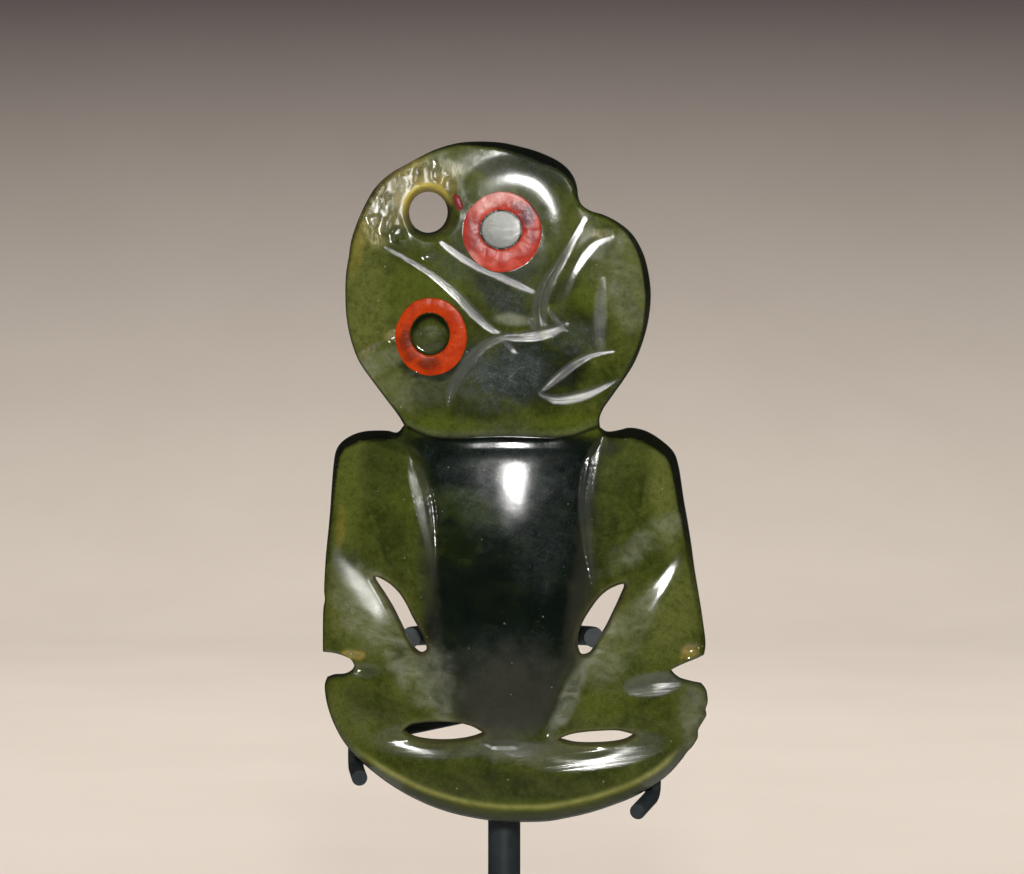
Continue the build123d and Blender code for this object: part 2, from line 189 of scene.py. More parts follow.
# Low rolls over the brow and down the chest: path of (x, y, half width in pixels, rise in mm)
CHEST_ROLL = [(515, 432, 36, 0.11), (515, 450, 36, 0.11), (516, 500, 36, 0.1), (517, 540, 36, 0.03)]
BROW_ROLL = [
    (468, 200, 14, 0.02), (482, 189, 20, 0.12), (500, 182, 24, 0.24), (520, 182, 25, 0.3),
    (539, 190, 25, 0.32), (551, 205, 24, 0.28), (558, 224, 22, 0.2), (559, 244, 20, 0.1),
    (554, 262, 14, 0.02),
]
# Soft ridges: path of (x, y, half width in pixels, rise in mm)
RIDGES = [
    [(331, 560, 16, 0.12), (339, 576, 22, 0.32), (348, 592, 27, 0.5), (359, 610, 29, 0.55),
     (388, 645, 27, 0.5), (425, 690, 18, 0.4), (452, 722, 11, 0.2)],
    [(692, 550, 16, 0.12), (680, 576, 22, 0.34), (662, 604, 25, 0.56), (648, 624, 26, 0.62),
     (630, 652, 24, 0.5), (600, 688, 19, 0.4), (575, 718, 11, 0.2)],
    [(350, 700, 20, 0.15), (390, 704, 22, 0.25), (430, 712, 14, 0.1)],
    [(675, 712, 20, 0.15), (630, 706, 20, 0.25), (585, 716, 12, 0.1)],
]
# Grooves: path of (x, y, half width in pixels, depth in mm), shape of the floor, share left unpolished
GROOVES = [
    ([(388, 250, 3, 0.03), (408, 261, 3.2, 0.08), (428.5, 273, 4, 0.14), (443, 284, 5, 0.18),
      (458, 297, 6, 0.23), (474, 314, 6, 0.25), (489, 328, 5, 0.2),
      (501, 336, 2.5, 0.06)], "stroke", 0.9),
    ([(440, 243, 2, 0.05), (450, 250, 4, 0.12), (463, 259, 4.6, 0.16), (476, 267, 4.6, 0.16),
      (490, 273, 4.5, 0.17), (505, 280, 4.6, 0.2), (520, 287, 4.6, 0.18),
      (534, 294, 3, 0.06)], "stroke", 0.9),
    ([(583, 222, 3, 0.03), (575, 236, 4, 0.1), (566, 252, 5, 0.22), (556, 269, 6, 0.28),
      (547, 284, 8, 0.32), (541, 300, 9.5, 0.32), (539, 316, 10, 0.26),
      (541, 330, 8, 0.1)], "stroke", 0.8),
    ([(610, 239, 4, 0.02), (595, 244, 5.5, 0.05), (583, 255, 7, 0.07), (574, 269, 7.5, 0.055),
      (567, 284, 7.5, 0.045), (562, 298, 7.5, 0.04), (558, 312, 7, 0.03),
      (555, 324, 5, 0.02)], "valley", 0.2),
    ([(536, 312, 1.5, 0.03), (543, 324, 4, 0.16), (552, 338, 2, 0.05)], "stroke", 0.9),
    ([(546, 308, 1.5, 0.03), (555, 320, 4, 0.16), (566, 332, 2, 0.05)], "stroke", 0.9),
    ([(528, 318, 1.5, 0.03), (533, 329, 3.5, 0.14), (541, 341, 1.5, 0.05)], "stroke", 0.9),
    ([(602.5, 280, 1.5, 0.03), (600.5, 294, 4.5, 0.15), (599, 308, 6.5, 0.2), (598.2, 322, 7, 0.2),
      (599, 336, 5.5, 0.15), (603, 350, 2, 0.04)], "stroke", 0.9),
    ([(612, 283, 3, 0.03), (621, 296, 7, 0.12), (631, 310, 8, 0.15), (642, 326, 5, 0.05)], "valley", 0.4),
    ([(613, 352, 2, 0.04), (592, 355.5, 3.8, 0.15), (577, 363, 5, 0.22), (563, 373, 5.4, 0.25),
      (551, 383, 4.6, 0.2), (539.5, 393.5, 1.8, 0.05)], "stroke", 0.9),
    ([(540, 395, 2.5, 0.05), (555, 400, 5.8, 0.2), (572, 398.5, 6.6, 0.26), (590, 393, 6, 0.24),
      (605, 386, 4, 0.12), (617, 379.5, 2, 0.04)], "stroke", 0.85),
    ([(566, 325, 4, 0.05), (552, 332, 6.5, 0.22), (534, 336.5, 7, 0.28), (517, 338, 5.4, 0.26),
      (503, 338.5, 4.6, 0.24), (488, 345, 5.6, 0.26), (473, 357, 6.5, 0.3), (461, 373, 6.5, 0.3),
      (452, 391, 5.4, 0.22), (448.5, 405, 2.5, 0.05)], "stroke", 0.85),
    ([(502, 340.5, 2, 0.06), (509, 347, 3.6, 0.16), (516, 354, 2, 0.04)], "stroke", 0.9),
    ([(409, 456, 3, 0.03), (412, 464, 6, 0.1), (417, 475, 9, 0.6), (423.5, 496, 11, 1.0),
      (429, 526, 9, 0.7), (433, 553, 7, 0.3), (436, 582, 3, 0.1)], "flank", 0.5),
    ([(592, 580, 3, 0.1), (588, 556, 5, 0.5), (585, 530, 7, 0.9), (583.5, 500, 8, 1.1),
      (586, 474, 8, 1.0), (591, 456, 6, 0.5), (596, 443, 3, 0.1)], "flank", 0.45),
    ([(421, 650, 5, 0.3), (428, 668, 9, 0.6), (438, 690, 10, 0.6), (448, 710, 9, 0.5),
      (459, 727, 5, 0.2)], "valley", 0.35),
    ([(584, 655, 5, 0.3), (577, 674, 9, 0.6), (569, 694, 10, 0.6), (559, 713, 9, 0.5),
      (547, 731, 5, 0.2)], "valley", 0.35),
    ([(497, 741, 5, 0.03), (512, 746, 10, 0.1), (530, 748, 10, 0.1), (546, 744, 5, 0.03)], "valley", 0.8),
    ([(352, 700, 4, 0.05), (360, 722, 7, 0.15), (372, 742, 5, 0.05)], "valley", 0.1),
]
# A stroke's floor: its lean towards the light, its curve and the fine keel along its bottom
STROKE_LEAN = 0.45
STROKE_POWER = 1.3
STROKE_KEEL = 0.3
STROKE_KEEL_WIDTH = 0.14
# A flank's places across its width, from its right side to its left, and the share of its depth at each
FLANK_SHAPE = ([-1, 0.1, 0.75, 1], [0, 0.25, 1, 0.5])
# How the unpolished share fades with the depth, and how far the streaks run across a groove and shift from
# one groove to the next
GROOVE_FADE = 0.6
STREAK_SPAN = 3
STREAK_SHIFT = 7
# Lens recesses: centre, half sizes, turn, depth, upper wall, lower facet, facet drop, unpolished share
LENSES = [
    ((433, 739), (66, 20.5), 2, 1.1, 0.95, 0.2, 0.12, 0.4),
    ((592, 748), (78, 22), -7, 1.2, 0.95, 0.34, 0.31, 0.5),
    ((652, 682.5), (33, 13.5), -6, 0.5, 0.9, 0.6, 0.2, 1.0),
    ((366, 669), (18, 8.5), 0, 0.4, 0.8, 0.6, 0.15, 0.35),
]
# Broken scoops and dips by the bore and on the edges: centre, half sizes, turn, depth in mm
SCOOPS = [
    ((419, 178), (5, 12), 12, 0.3), ((404, 172), (6, 9), 25, 0.25), ((449, 188), (6, 10), -15, 0.35),
    ((390, 224), (7, 12), 30, 0.4), ((385, 203), (5, 9), 35, 0.25), ((399, 234), (7, 9), 25, 0.4),
    ((437, 176), (4, 10), 0, 0.25), ((376, 222), (6, 9), 20, 0.25), ((397, 337), (7, 5), -25, 0.35),
    ((372, 350), (14, 3), -28, 0.25), ((688, 650), (10, 7), -20, 0.6), ((353, 653), (11, 4), 5, 0.5),
    ((702, 706), (6, 5), 0, 0.6), ((704, 722), (5, 7), 0, 0.6), ((697, 742), (6, 5), 0, 0.6),
    ((694, 694), (12, 7), 20, 0.3), ((431, 258), (7, 4), 10, 0.2),
]
SCOOP_RAGGED = 0.4
# Bruised places with broken faces: centre, half sizes, turn, strength
BRUISES = [
    ((412, 200), (46, 42), 0, 1.0), ((692, 712), (17, 32), 0, 0.7),
    ((520, 746), (24, 9), 0, 0.15), ((500, 365), (42, 22), 0, 0.15),
]

# Eye rings: middle and half sizes of the ring and of the pupil inside it, in pixels
UPPER_RING = {
    "middle": (502.2, 234.6), "half": (39.2, 39.8),
    "pupil": (501.2, 232.4), "pupil_half": (21, 19.6),
}
LOWER_RING = {
    "middle": (431.9, 337.9), "half": (35.6, 38.6),
    "pupil": (430.9, 335.2), "pupil_half": (19.8, 21.2),
}
# How far the wax stands proud and goes in, and how the pupils rise, step or sink, in mm
RING_PROUD = 0.16
RING_ROOT = 1.0
UPPER_PUPIL_RISE = 0.08
PUPIL_STEP = 0.1
LOWER_PUPIL_SINK = 0.95
# Walls of the wax's pockets, in pixels from its edges, and the sunk pupil's wall as a share of its radius
POCKET_OUTER = 2.2
POCKET_INNER = 1.6
POCKET_WALL = 1.2
SUNK_WALL = 0.16
# Section of a ring, from the pupil outwards: share of the way, rise as a share of RING_PROUD with 0 for the
# root, and drop in mm
RING_SECTION = [
    (0, 0, 0), (0, 0.45, 0.1), (0.03, 0.72, 0), (0.09, 0.9, 0), (0.2, 1.04, 0), (0.35, 1.2, 0),
    (0.5, 1.26, 0), (0.65, 1.2, 0), (0.8, 1.04, 0), (0.91, 0.9, 0), (0.97, 0.72, 0), (1, 0.45, 0.1),
    (1, 0, 0),
]
RING_TURNS = 160
# Scrap of wax: middle and half sizes in pixels, and its section as share of the half sizes and rise in mm
SCRAP_MIDDLE = (458.8, 205.5)
SCRAP_HALF = (4.0, 9.6)
SCRAP_SECTION = [(1.0, -0.25), (1.0, 0.02), (0.86, 0.16), (0.6, 0.22), (0.3, 0.25), (0.0, 0.25)]
SCRAP_TURNS = 40

# Steps of the meshes and of the lines they follow, in pixels
FRONT_STEP_HEAD = 1.5
FRONT_STEP_BODY = 2.26
HEAD_GRID_END = 441.0
BACK_STEP = 4.2
LOOP_STEP = 1.5
PATH_STEP = 2.0
CURVE_STEPS = 16
# Where the points of the rounded edge stand, as shares of its width
RIM_SHARES = [0.04, 0.15, 0.31, 0.52, 0.76, 1.0]
# Line where front and back meet, as a share of the front's level, and the back's edge and flare
MID_SHARE = 0.42
RIM_SMOOTHINGS = 8
BACK_ROUND = 4.0
BACK_FLARE = 0.9
BACK_FLARE_WIDTH = 7
# Place across a path, in half widths, for all that is far from it
FAR_ACROSS = 9.0
# Waves left by polishing: height in mm, size in pixels, seed
POLISH_WAVES = [(0.012, 23, 1), (0.003, 9, 2)]
NOISE_CELLS = 64
# Height of a triangle with sides of 1
TRIANGLE_HEIGHT = 0.866
# Rows between which the foot's grey band of scuffs and painted sheen begins, and reach of the painted glow
# round the openings, in pixels
FOOT_ROWS = (742, 765)
GLOW_REACH = 2.5


def smooth_curve(points, closed=False):
    """Many points along a centripetal Catmull-Rom curve through the given ones."""
    given = np.array(points, float)
    if closed:
        rows = np.vstack([given[-2], given, given[1]])
    else:
        rows = np.vstack([2 * given[0] - given[1], given, 2 * given[-1] - given[-2]])
    made = []
    for a, b, c, d in zip(rows[:-3], rows[1:-2], rows[2:-1], rows[3:]):
        t1 = np.hypot(*(b - a)[:2]) ** 0.5
        t2 = t1 + np.hypot(*(c - b)[:2]) ** 0.5
        t3 = t2 + np.hypot(*(d - c)[:2]) ** 0.5
        t = np.linspace(t1, t2, CURVE_STEPS + 1)[:-1, None]
        p1 = (t1 - t) / t1 * a + t / t1 * b
        p2 = (t2 - t) / (t2 - t1) * b + (t - t1) / (t2 - t1) * c
        p3 = (t3 - t) / (t3 - t2) * c + (t - t2) / (t3 - t2) * d
        q1 = (t2 - t) / t2 * p1 + t / t2 * p2
        q2 = (t3 - t) / (t3 - t1) * p2 + (t - t1) / (t3 - t1) * p3
        made.append((t2 - t) / (t2 - t1) * q1 + (t - t1) / (t2 - t1) * q2)
    return np.vstack(made + [given[-1:]])


def even_points(points, step):
    """The same line cut into even steps, with its ends kept."""
    along = np.concatenate([[0], np.cumsum(np.hypot(*np.diff(points[:, :2], axis=0).T))])
    at = np.linspace(0, along[-1], max(3, int(round(along[-1] / step)) + 1))
    return np.column_stack([np.interp(at, along, column) for column in points.T])


def join_runs(runs, step):
    """Even points along smooth runs that meet at corners."""
    curves = [smooth_curve(run, run[0] == run[-1]) for run in runs]
    return np.vstack([even_points(curve, step)[:-1] for curve in curves])


def bore_loop(step):
    count = int(2 * math.pi * BORE_RADII[0] / step)
    turn = np.linspace(0, 2 * math.pi, count, endpoint=False)
    x = BORE_CENTRE[0] + BORE_RADII[0] * np.cos(turn)
    y = BORE_CENTRE[1] + BORE_RADII[1] * np.sin(turn)
    return np.column_stack([x, y])


def stone_loops(step):
    """The outer outline, the slits, the slots and the bore, as closed lines of even points."""
    traced = (OUTER_RUNS, LEFT_SLIT_RUNS, RIGHT_SLIT_RUNS, LEFT_SLOT_RUNS, RIGHT_SLOT_RUNS)
    return [join_runs(runs, step) for runs in traced] + [bore_loop(step)]


def smooth_rows(at, keys, values):
    """Smooth interpolation of values given at rising keys."""
    keys = np.asarray(keys, float)
    values = np.asarray(values, float)
    slopes = np.gradient(values, keys)
    at = np.clip(at, keys[0], keys[-1])
    i = np.clip(np.searchsorted(keys, at, "right") - 1, 0, len(keys) - 2)
    gap = keys[i + 1] - keys[i]
    t = (at - keys[i]) / gap
    return (
        values[i] * (2 * t**3 - 3 * t**2 + 1)
        + slopes[i] * gap * (t**3 - 2 * t**2 + t)
        + values[i + 1] * (3 * t**2 - 2 * t**3)
        + slopes[i + 1] * gap * (t**3 - t**2)
    )


def ease(low, high, value):
    """A smooth step from 0 at low to 1 at high."""
    t = np.clip((value - low) / (high - low), 0, 1)
    return t * t * (3 - 2 * t)


def lattice(u, v, low, seed):
    """Random values at the four grid points round each place, and the place's shares between them."""
    grid = np.random.default_rng(seed).uniform(low, 1, (NOISE_CELLS, NOISE_CELLS))
    i = np.floor(u).astype(int)
    j = np.floor(v).astype(int)
    steps = [(right, down) for down in (0, 1) for right in (0, 1)]
    corners = [grid[(i + right) % NOISE_CELLS, (j + down) % NOISE_CELLS] for right, down in steps]
    return u - i, v - j, corners


def value_noise(x, y, size, seed):
    """Smooth seeded noise from -1 to 1 with features about size pixels wide."""
    fu, fv, (a, b, c, d) = lattice(x / size, y / size, -1, seed)
    fu = fu * fu * (3 - 2 * fu)
    fv = fv * fv * (3 - 2 * fv)
    return (a * (1 - fu) + b * fu) * (1 - fv) + (c * (1 - fu) + d * fu) * fv


def facets(x, y, size, seed):
    """Broken flat faces about size pixels wide, from 0 to 1: triangles that each tilt their own way."""
    v = y / (size * TRIANGLE_HEIGHT)
    fu, fv, (a, b, c, d) = lattice(x / size - v * 0.5, v, 0, seed)
    upper = a + (b - a) * fu + (c - a) * fv
    lower = d + (c - d) * (1 - fu) + (b - d) * (1 - fv)
    return np.where(fu + fv < 1, upper, lower)


def blob(x, y, middle, half, turn=0.0):
    """Elliptical radius: 0 at the middle, 1 on the ellipse."""
    angle = math.radians(turn)
    dx = x - middle[0]
    dy = y - middle[1]
    u = dx * math.cos(angle) + dy * math.sin(angle)
    v = -dx * math.sin(angle) + dy * math.cos(angle)
    return np.hypot(u / half[0], v / half[1])


def blob_side(x, y, middle, turn):
    """Distance below the long axis of a turned ellipse."""
    angle = math.radians(turn)
    return -(x - middle[0]) * math.sin(angle) + (y - middle[1]) * math.cos(angle)


def follow_path(x, y, path):
    """Each point's place across the path in half widths, positive on the path's left, the height or
    depth given there, and how far that left side faces the key light."""
    line = even_points(smooth_curve(path), PATH_STEP)
    reach = line[:, 2].max() + 1
    near = (
        (x > line[:, 0].min() - reach) & (x < line[:, 0].max() + reach)
        & (y > line[:, 1].min() - reach) & (y < line[:, 1].max() + reach)
    )
    across = np.full(x.shape, FAR_ACROSS)
    amount = np.zeros(x.shape)
    toward = np.zeros(x.shape)
    at = np.flatnonzero(near)
    if not len(at):
        return across, amount, toward
    start = line[:-1, :2]
    step = line[1:, :2] - start
    square = (step**2).sum(1)
    dx = x[at, None] - start[None, :, 0]
    dy = y[at, None] - start[None, :, 1]
    t = np.clip((dx * step[:, 0] + dy * step[:, 1]) / square, 0, 1)
    gap = np.hypot(dx - t * step[:, 0], dy - t * step[:, 1])
    best = gap.argmin(1)
    row = np.arange(len(at))
    share = t[row, best]
    half, height = (line[best, k] * (1 - share) + line[best + 1, k] * share for k in (2, 3))
    side = np.sign(dx[row, best] * step[best, 1] - dy[row, best] * step[best, 0])
    across[at] = gap[row, best] / half * np.where(side == 0, 1, side)
    amount[at] = height
    light = np.array(MIRROR_SPOT) - np.column_stack([x[at], y[at]])
    turned = light[:, 0] * step[best, 1] - light[:, 1] * step[best, 0]
    toward[at] = turned / (np.hypot(*light.T) * np.sqrt(square[best]))
    return across, amount, toward


def roll_rise(x, y, path):
    """Height in mm that a soft roll along a path adds."""
    across, rise, _ = follow_path(x, y, path)
    return rise * (1 - np.clip(np.abs(across), 0, 1) ** 2) ** 2


def floor_shape(across, kind, toward):
    """Share of a groove's depth over its width. A stroke leans by the light; a flank is deep on its left."""
    t = np.clip(across, -1, 1)
    if kind == "valley":
        return (1 - t**2) ** 2
    if kind == "flank":
        return np.interp(t, *FLANK_SHAPE)
    lean = STROKE_LEAN * toward
    wall = np.where(t < lean, (t + 1) / (1 + lean), (1 - t) / (1 - lean))
    return wall**STROKE_POWER + STROKE_KEEL * np.exp(-(((t - lean) / STROKE_KEEL_WIDTH) ** 2))


def chin_gap(x, y):
    """How far a point lies below the chin."""
    return y - smooth_rows(x, *zip(*CHIN_LINE))


def torso_place(x, y):
    """How far a point lies from the torso's middle, with 1 at its sides, and the crown's level in its row."""
    rows = np.array(TORSO)
    left, right, crown = (smooth_rows(y, rows[:, 0], rows[:, k]) for k in (1, 2, 3))
    return np.abs((x - (left + right) / 2) / ((right - left) / 2)), crown


def bore_place(x, y):
    """Shares of the bore's radii across and down from its centre, and pixels out from its edge."""
    dx = (x - BORE_CENTRE[0]) / BORE_RADII[0]
    dy = (y - BORE_CENTRE[1]) / BORE_RADII[1]
    return dx, dy, (np.hypot(dx, dy) - 1) * BORE_RADII[0]


def plate_level(x, y):
    """The stone's front before grooves, in mm above the back."""
    head = HEAD_LEVEL - HEAD_FALL * (np.sqrt(1 + blob(x, y, HEAD_MIDDLE, HEAD_SPREAD) ** 2) - 1)
    head = head + CHEEK_BULGE[3] * np.exp(-blob(x, y, *CHEEK_BULGE[:3]) ** 2)
    head = head + roll_rise(x, y, BROW_ROLL)
    body = BODY_LEVEL - BODY_FALL * blob(x, y, BODY_MIDDLE, BODY_SPREAD) ** 2
    for path in RIDGES:
        body = body + roll_rise(x, y, path)
    t, crown = torso_place(x, y)
    column = (1 - np.clip(t, 0, 1) ** TORSO_POWER) ** (1 / TORSO_POWER)
    root = np.minimum(body, crown) - TORSO_ROOT
    torso = root + (crown - root) * column
    raised = np.maximum(body * (1 - column) + torso * column, np.minimum(torso, crown))
    on_torso = (y > TORSO[0][0]) & (y < TORSO[-1][0]) & (t < 1)
    body = np.where(on_torso, raised, body)
    below = chin_gap(x, y)
    head = head - CHIN_DROP * ease(-CHIN_ROLL, 0, below) ** 2
    join = ease(-CHIN_BLEND, CHIN_BLEND, below)
    return head * (1 - join) + (body + roll_rise(x, y, CHEST_ROLL)) * join


def relief(x, y):
    """Grooves, recesses, scoops and bruises: (mm to take off, unpolished share, place across the stroke)."""
    cut = np.zeros(x.shape)
    rough = np.zeros(x.shape)
    streak = np.zeros(x.shape)
    for number, (path, kind, unpolished) in enumerate(GROOVES):
        across, depth, toward = follow_path(x, y, path)
        inside = np.abs(across) < 1
        amount = np.where(inside, depth * floor_shape(across, kind, toward), 0)
        streak = np.where((amount > cut) & inside, across * STREAK_SPAN + number * STREAK_SHIFT, streak)
        cut = np.maximum(cut, amount)
        fade = np.clip(depth / max(row[3] for row in path), 0, 1) ** GROOVE_FADE
        ground = unpolished * fade * ease(1.0, 0.6, np.abs(across))
        rough = np.where(inside, np.maximum(rough, ground), rough)
    for middle, half, turn, depth, upper, lower, drop, unpolished in LENSES:
        radius = blob(x, y, middle, half, turn)
        below = blob_side(x, y, middle, turn) / half[1]
        soft = depth * ease(0, 1, np.clip((1 - radius) / upper, 0, 1)) * (radius < 1)
        out = np.clip(1 - radius, 0, 1)
        steeper = (depth - drop / lower) / (1 - lower) ** 2
        facet = drop * out / lower + steeper * np.clip(out - lower, 0, 1) ** 2
        cut = np.maximum(cut, soft + (facet - soft) * ease(-0.1, 0.35, below))
        rough = np.maximum(rough, unpolished * ease(1.0, 0.8, radius))
        streak = np.where((radius < 1) & (unpolished > 0.3), below * STREAK_SPAN, streak)
    ragged = SCOOP_RAGGED * value_noise(x, y, 4, 5)
    for middle, half, turn, depth in SCOOPS:
        radius = blob(x, y, middle, half, turn) + ragged
        cut = cut + depth * np.clip(1 - radius**2, 0, 1)
        rough = np.maximum(rough, 0.5 * ease(1.0, 0.6, radius))
    bent_x = x + 4 * value_noise(x, y, 17, 13)
    bent_y = y + 4 * value_noise(x, y, 17, 14)
    broken = 0.24 * facets(bent_x * 1.3, bent_y * 0.6 + bent_x * 0.3, 12, 11)
    broken = broken + 0.14 * facets(bent_x * 1.2, bent_y * 0.5, 5, 12)
    for middle, half, turn, strength in BRUISES:
        mask = strength * ease(1.1, 0.55, blob(x, y, middle, half, turn))
        cut = cut + mask * broken
        rough = np.maximum(rough, 0.45 * mask)
    return cut, rough, streak


def eye_relief(x, y):
    """The pockets that hold the wax, the raised upper pupil and the sunk lower one, in mm to take off."""
    cut = np.zeros(x.shape)
    for ring, sink in ((UPPER_RING, -UPPER_PUPIL_RISE), (LOWER_RING, LOWER_PUPIL_SINK)):
        from_edge = (1 - blob(x, y, ring["middle"], ring["half"])) * ring["half"][0]
        from_pupil = (blob(x, y, ring["pupil"], ring["pupil_half"]) - 1) * ring["pupil_half"][0]
        wall = np.minimum(from_edge - POCKET_OUTER, from_pupil - POCKET_INNER)
        cut = cut + RING_ROOT * np.clip(wall / POCKET_WALL, 0, 1)
        inside = np.clip(-(from_pupil - 1.0) / ring["pupil_half"][0], 0, 1)
        if sink > 0:
            cut = cut + sink * ease(0, SUNK_WALL, inside)
        else:
            cut = cut + sink * (1 - (1 - inside) ** 2) * (inside > 0) + PUPIL_STEP * (inside > 0)
    return cut


def bore_relief(x, y):
    """The worn funnel at the front of the bore, wider to the lower right."""
    dx, dy, out = bore_place(x, y)
    wide = FUNNEL_WIDTH + FUNNEL_WEAR * np.cos(np.arctan2(dy, dx) - math.radians(FUNNEL_TURN))
    return FUNNEL_DEPTH * np.clip(1 - out / wide, 0, 1) ** FUNNEL_POWER


def inside_loop(x, y, loop):
    """Which points lie inside a closed line."""
    found = np.zeros(x.shape, bool)
    near = (x > loop[:, 0].min()) & (x < loop[:, 0].max()) & (y > loop[:, 1].min()) & (y < loop[:, 1].max())
    at = np.flatnonzero(near)
    px = x[at]
    py = y[at]
    odd = np.zeros(len(at), bool)
    for (x0, y0), (x1, y1) in zip(loop, np.roll(loop, -1, axis=0)):
        if y0 != y1:
            spans = (y0 > py) != (y1 > py)
            odd ^= spans & (px < (x1 - x0) * (py - y0) / (y1 - y0) + x0)
    found[at] = odd
    return found


def inside_stone(points, loops):
    """Which points lie inside the outline and outside its openings."""
    outer, *openings = (inside_loop(*points.T, loop) for loop in loops)
    return outer & ~np.any(openings, axis=0)


def loop_starts(loops):
    """Number of each loop's first point where the loops follow each other."""
    return np.cumsum([0] + [len(loop) for loop in loops[:-1]]).tolist()


def rim_values(loops):
    """Bevel width, bevel drop, edge radius and painted darkness, the bevel's dark reflection, at every point
    of every loop.
    """
    stations = np.array(OUTER_RIM, float)
    outer = loops[0]
    along = np.concatenate([[0], np.cumsum(np.hypot(*np.diff(outer, axis=0).T))])
    total = along[-1] + np.hypot(*(outer[0] - outer[-1]))
    place = np.array([along[np.hypot(outer[:, 0] - s[0], outer[:, 1] - s[1]).argmin()] for s in stations])
    order = place.argsort()
    wrapped = np.concatenate([order[-1:], order, order[:1]])
    keys = place[wrapped] + total * np.concatenate([[-1], np.zeros(len(order)), [1]])
    values = [[np.interp(along, keys, column[wrapped]) for column in stations.T[2:]]]
    for loop, rim in zip(loops[1:], (SLIT_RIM, SLIT_RIM, SLOT_RIM, SLOT_RIM, BORE_RIM)):
        values.append([np.full(len(loop), float(value)) for value in rim])
    return [np.concatenate(column) for column in zip(*values)]


def loop_inward(loops):
    """Unit directions from each loop point into the stone."""
    directions = []
    for number, loop in enumerate(loops):
        ahead = np.roll(loop, -1, axis=0) - np.roll(loop, 1, axis=0)
        normal = np.column_stack([-ahead[:, 1], ahead[:, 0]])
        normal /= np.hypot(*normal.T)[:, None]
        test = loop + normal * 0.7
        hits = inside_loop(*test.T, loop)
        flip = hits.mean() < 0.5 if number == 0 else hits.mean() > 0.5
        directions.append(-normal if flip else normal)
    return np.vstack(directions)


def triangulate(points, loops):
    """Triangles over the stone's outline with its openings left out. The first points are the loops."""
    edges = []
    for start, loop in zip(loop_starts(loops), loops):
        count = len(loop)
        edges += [(start + i, start + (i + 1) % count) for i in range(count)]
    made = geometry.delaunay_2d_cdt([Vector((p[0], -p[1])) for p in points], edges, [], 1, 1e-6, True)
    origin = np.array([ids[0] if ids else -1 for ids in made[3]])
    triangles = origin[np.array(made[2])]
    triangles = triangles[(triangles >= 0).all(1)]
    triangles = triangles[inside_stone(points[triangles].mean(1), loops)]
    a, b, c = (points[triangles[:, k]] for k in range(3))
    turn = (b[:, 0] - a[:, 0]) * (a[:, 1] - c[:, 1]) - (a[:, 1] - b[:, 1]) * (c[:, 0] - a[:, 0])
    triangles[turn < 0] = triangles[turn < 0][:, ::-1]
    return triangles


def hex_grid(low, high, step):
    """Points of an even grid of triangles over a box."""
    rows = np.arange(low[1], high[1], step * math.sqrt(3) / 2)
    columns = np.arange(low[0], high[0], step)
    x, y = np.meshgrid(columns, rows)
    x = x + (np.arange(len(rows)) % 2)[:, None] * step / 2
    return np.column_stack([x.ravel(), y.ravel()])


def sheet_points(loops, nearest, reach, grid, step):
    """The points of one face of the stone after the loop points: edge rings and the grid inside them."""
    rim = np.vstack(loops)
    inward = loop_inward(loops)
    kept = []
    for share in RIM_SHARES:
        offset = reach * share
        ring = rim + inward * offset[:, None]
        kept.append(ring[nearest(ring)[1] >= offset * 0.985 - 0.01])
    grid = grid[inside_stone(grid, loops)]
    index, gap = nearest(grid)
    kept.append(grid[gap > reach[index] + 0.5 * step])
    return np.vstack(kept)


def quarter_round(u):
    return np.sqrt(np.clip(1 - (1 - np.clip(u, 0, 1)) ** 2, 0, 1))


def crease_shade_lines(x, y):
    """Painted shade, from 0 to 1: dark lines under the chin, round the wall of the sunk pupil, heaviest at its
    top, and round the raised one.
    """
    chin = np.exp(-(((chin_gap(x, y) - 0.6) / 1.8) ** 2)) * (np.abs(x - CHIN_MIDDLE) < CHIN_HALF)
    sunk = blob(x, y, LOWER_RING["pupil"], LOWER_RING["pupil_half"])
    top = ease(0.2, -0.6, (y - LOWER_RING["pupil"][1]) / LOWER_RING["pupil_half"][1])
    wall = ease(1.0, 0.96, sunk) * ease(0.84 - 0.3 * top, 0.94 - 0.1 * top, sunk) * (0.55 + 0.45 * top)
    raised = blob(x, y, UPPER_RING["pupil"], UPPER_RING["pupil_half"])
    edge = 0.75 * np.exp(-(((raised - 0.97) / 0.06) ** 2))
    return np.maximum(np.maximum(chin, wall), edge)


def stone_front(x, y, gap, index, rim):
    """Front level and the masks that the stone's material reads."""
    bevel_width, bevel_drop, _, darkness = rim
    cut, rough, streak = relief(x, y)
    level = plate_level(x, y) - cut - eye_relief(x, y) - bore_relief(x, y)
    for height, size, seed in POLISH_WAVES:
        level = level + height * value_noise(x, y, size, seed)
    pupil = ease(1.0, 0.9, blob(x, y, UPPER_RING["pupil"], UPPER_RING["pupil_half"]))
    brushed = 0.2 * value_noise(x, y, 8, 26) + 0.03 * (0.4 * x + y)
    inner = np.clip(1 - gap / bevel_width[index], 0, 1)
    foot = ease(*FOOT_ROWS, y)
    masks = {
        "rough_cut": np.maximum(rough, 0.8 * pupil),
        "stroke": np.where(pupil > 0, brushed, streak),
        # Painted dark reflection on the bevels, painted shade in creases, the foot's grey band of scuffs and
        # painted sheen, and a painted glow line along it
        "bevel": darkness[index] * ease(0.0, 0.22, inner),
        "crease_shade": crease_shade_lines(x, y),
        "foot_band": foot * ease(0.0, 0.8, inner),
        "painted_rim_glow": foot * np.exp(-(((gap - bevel_width[index] + 1.0) / 3.0) ** 2)),
    }
    return level - bevel_drop[index] * inner**1.15, masks


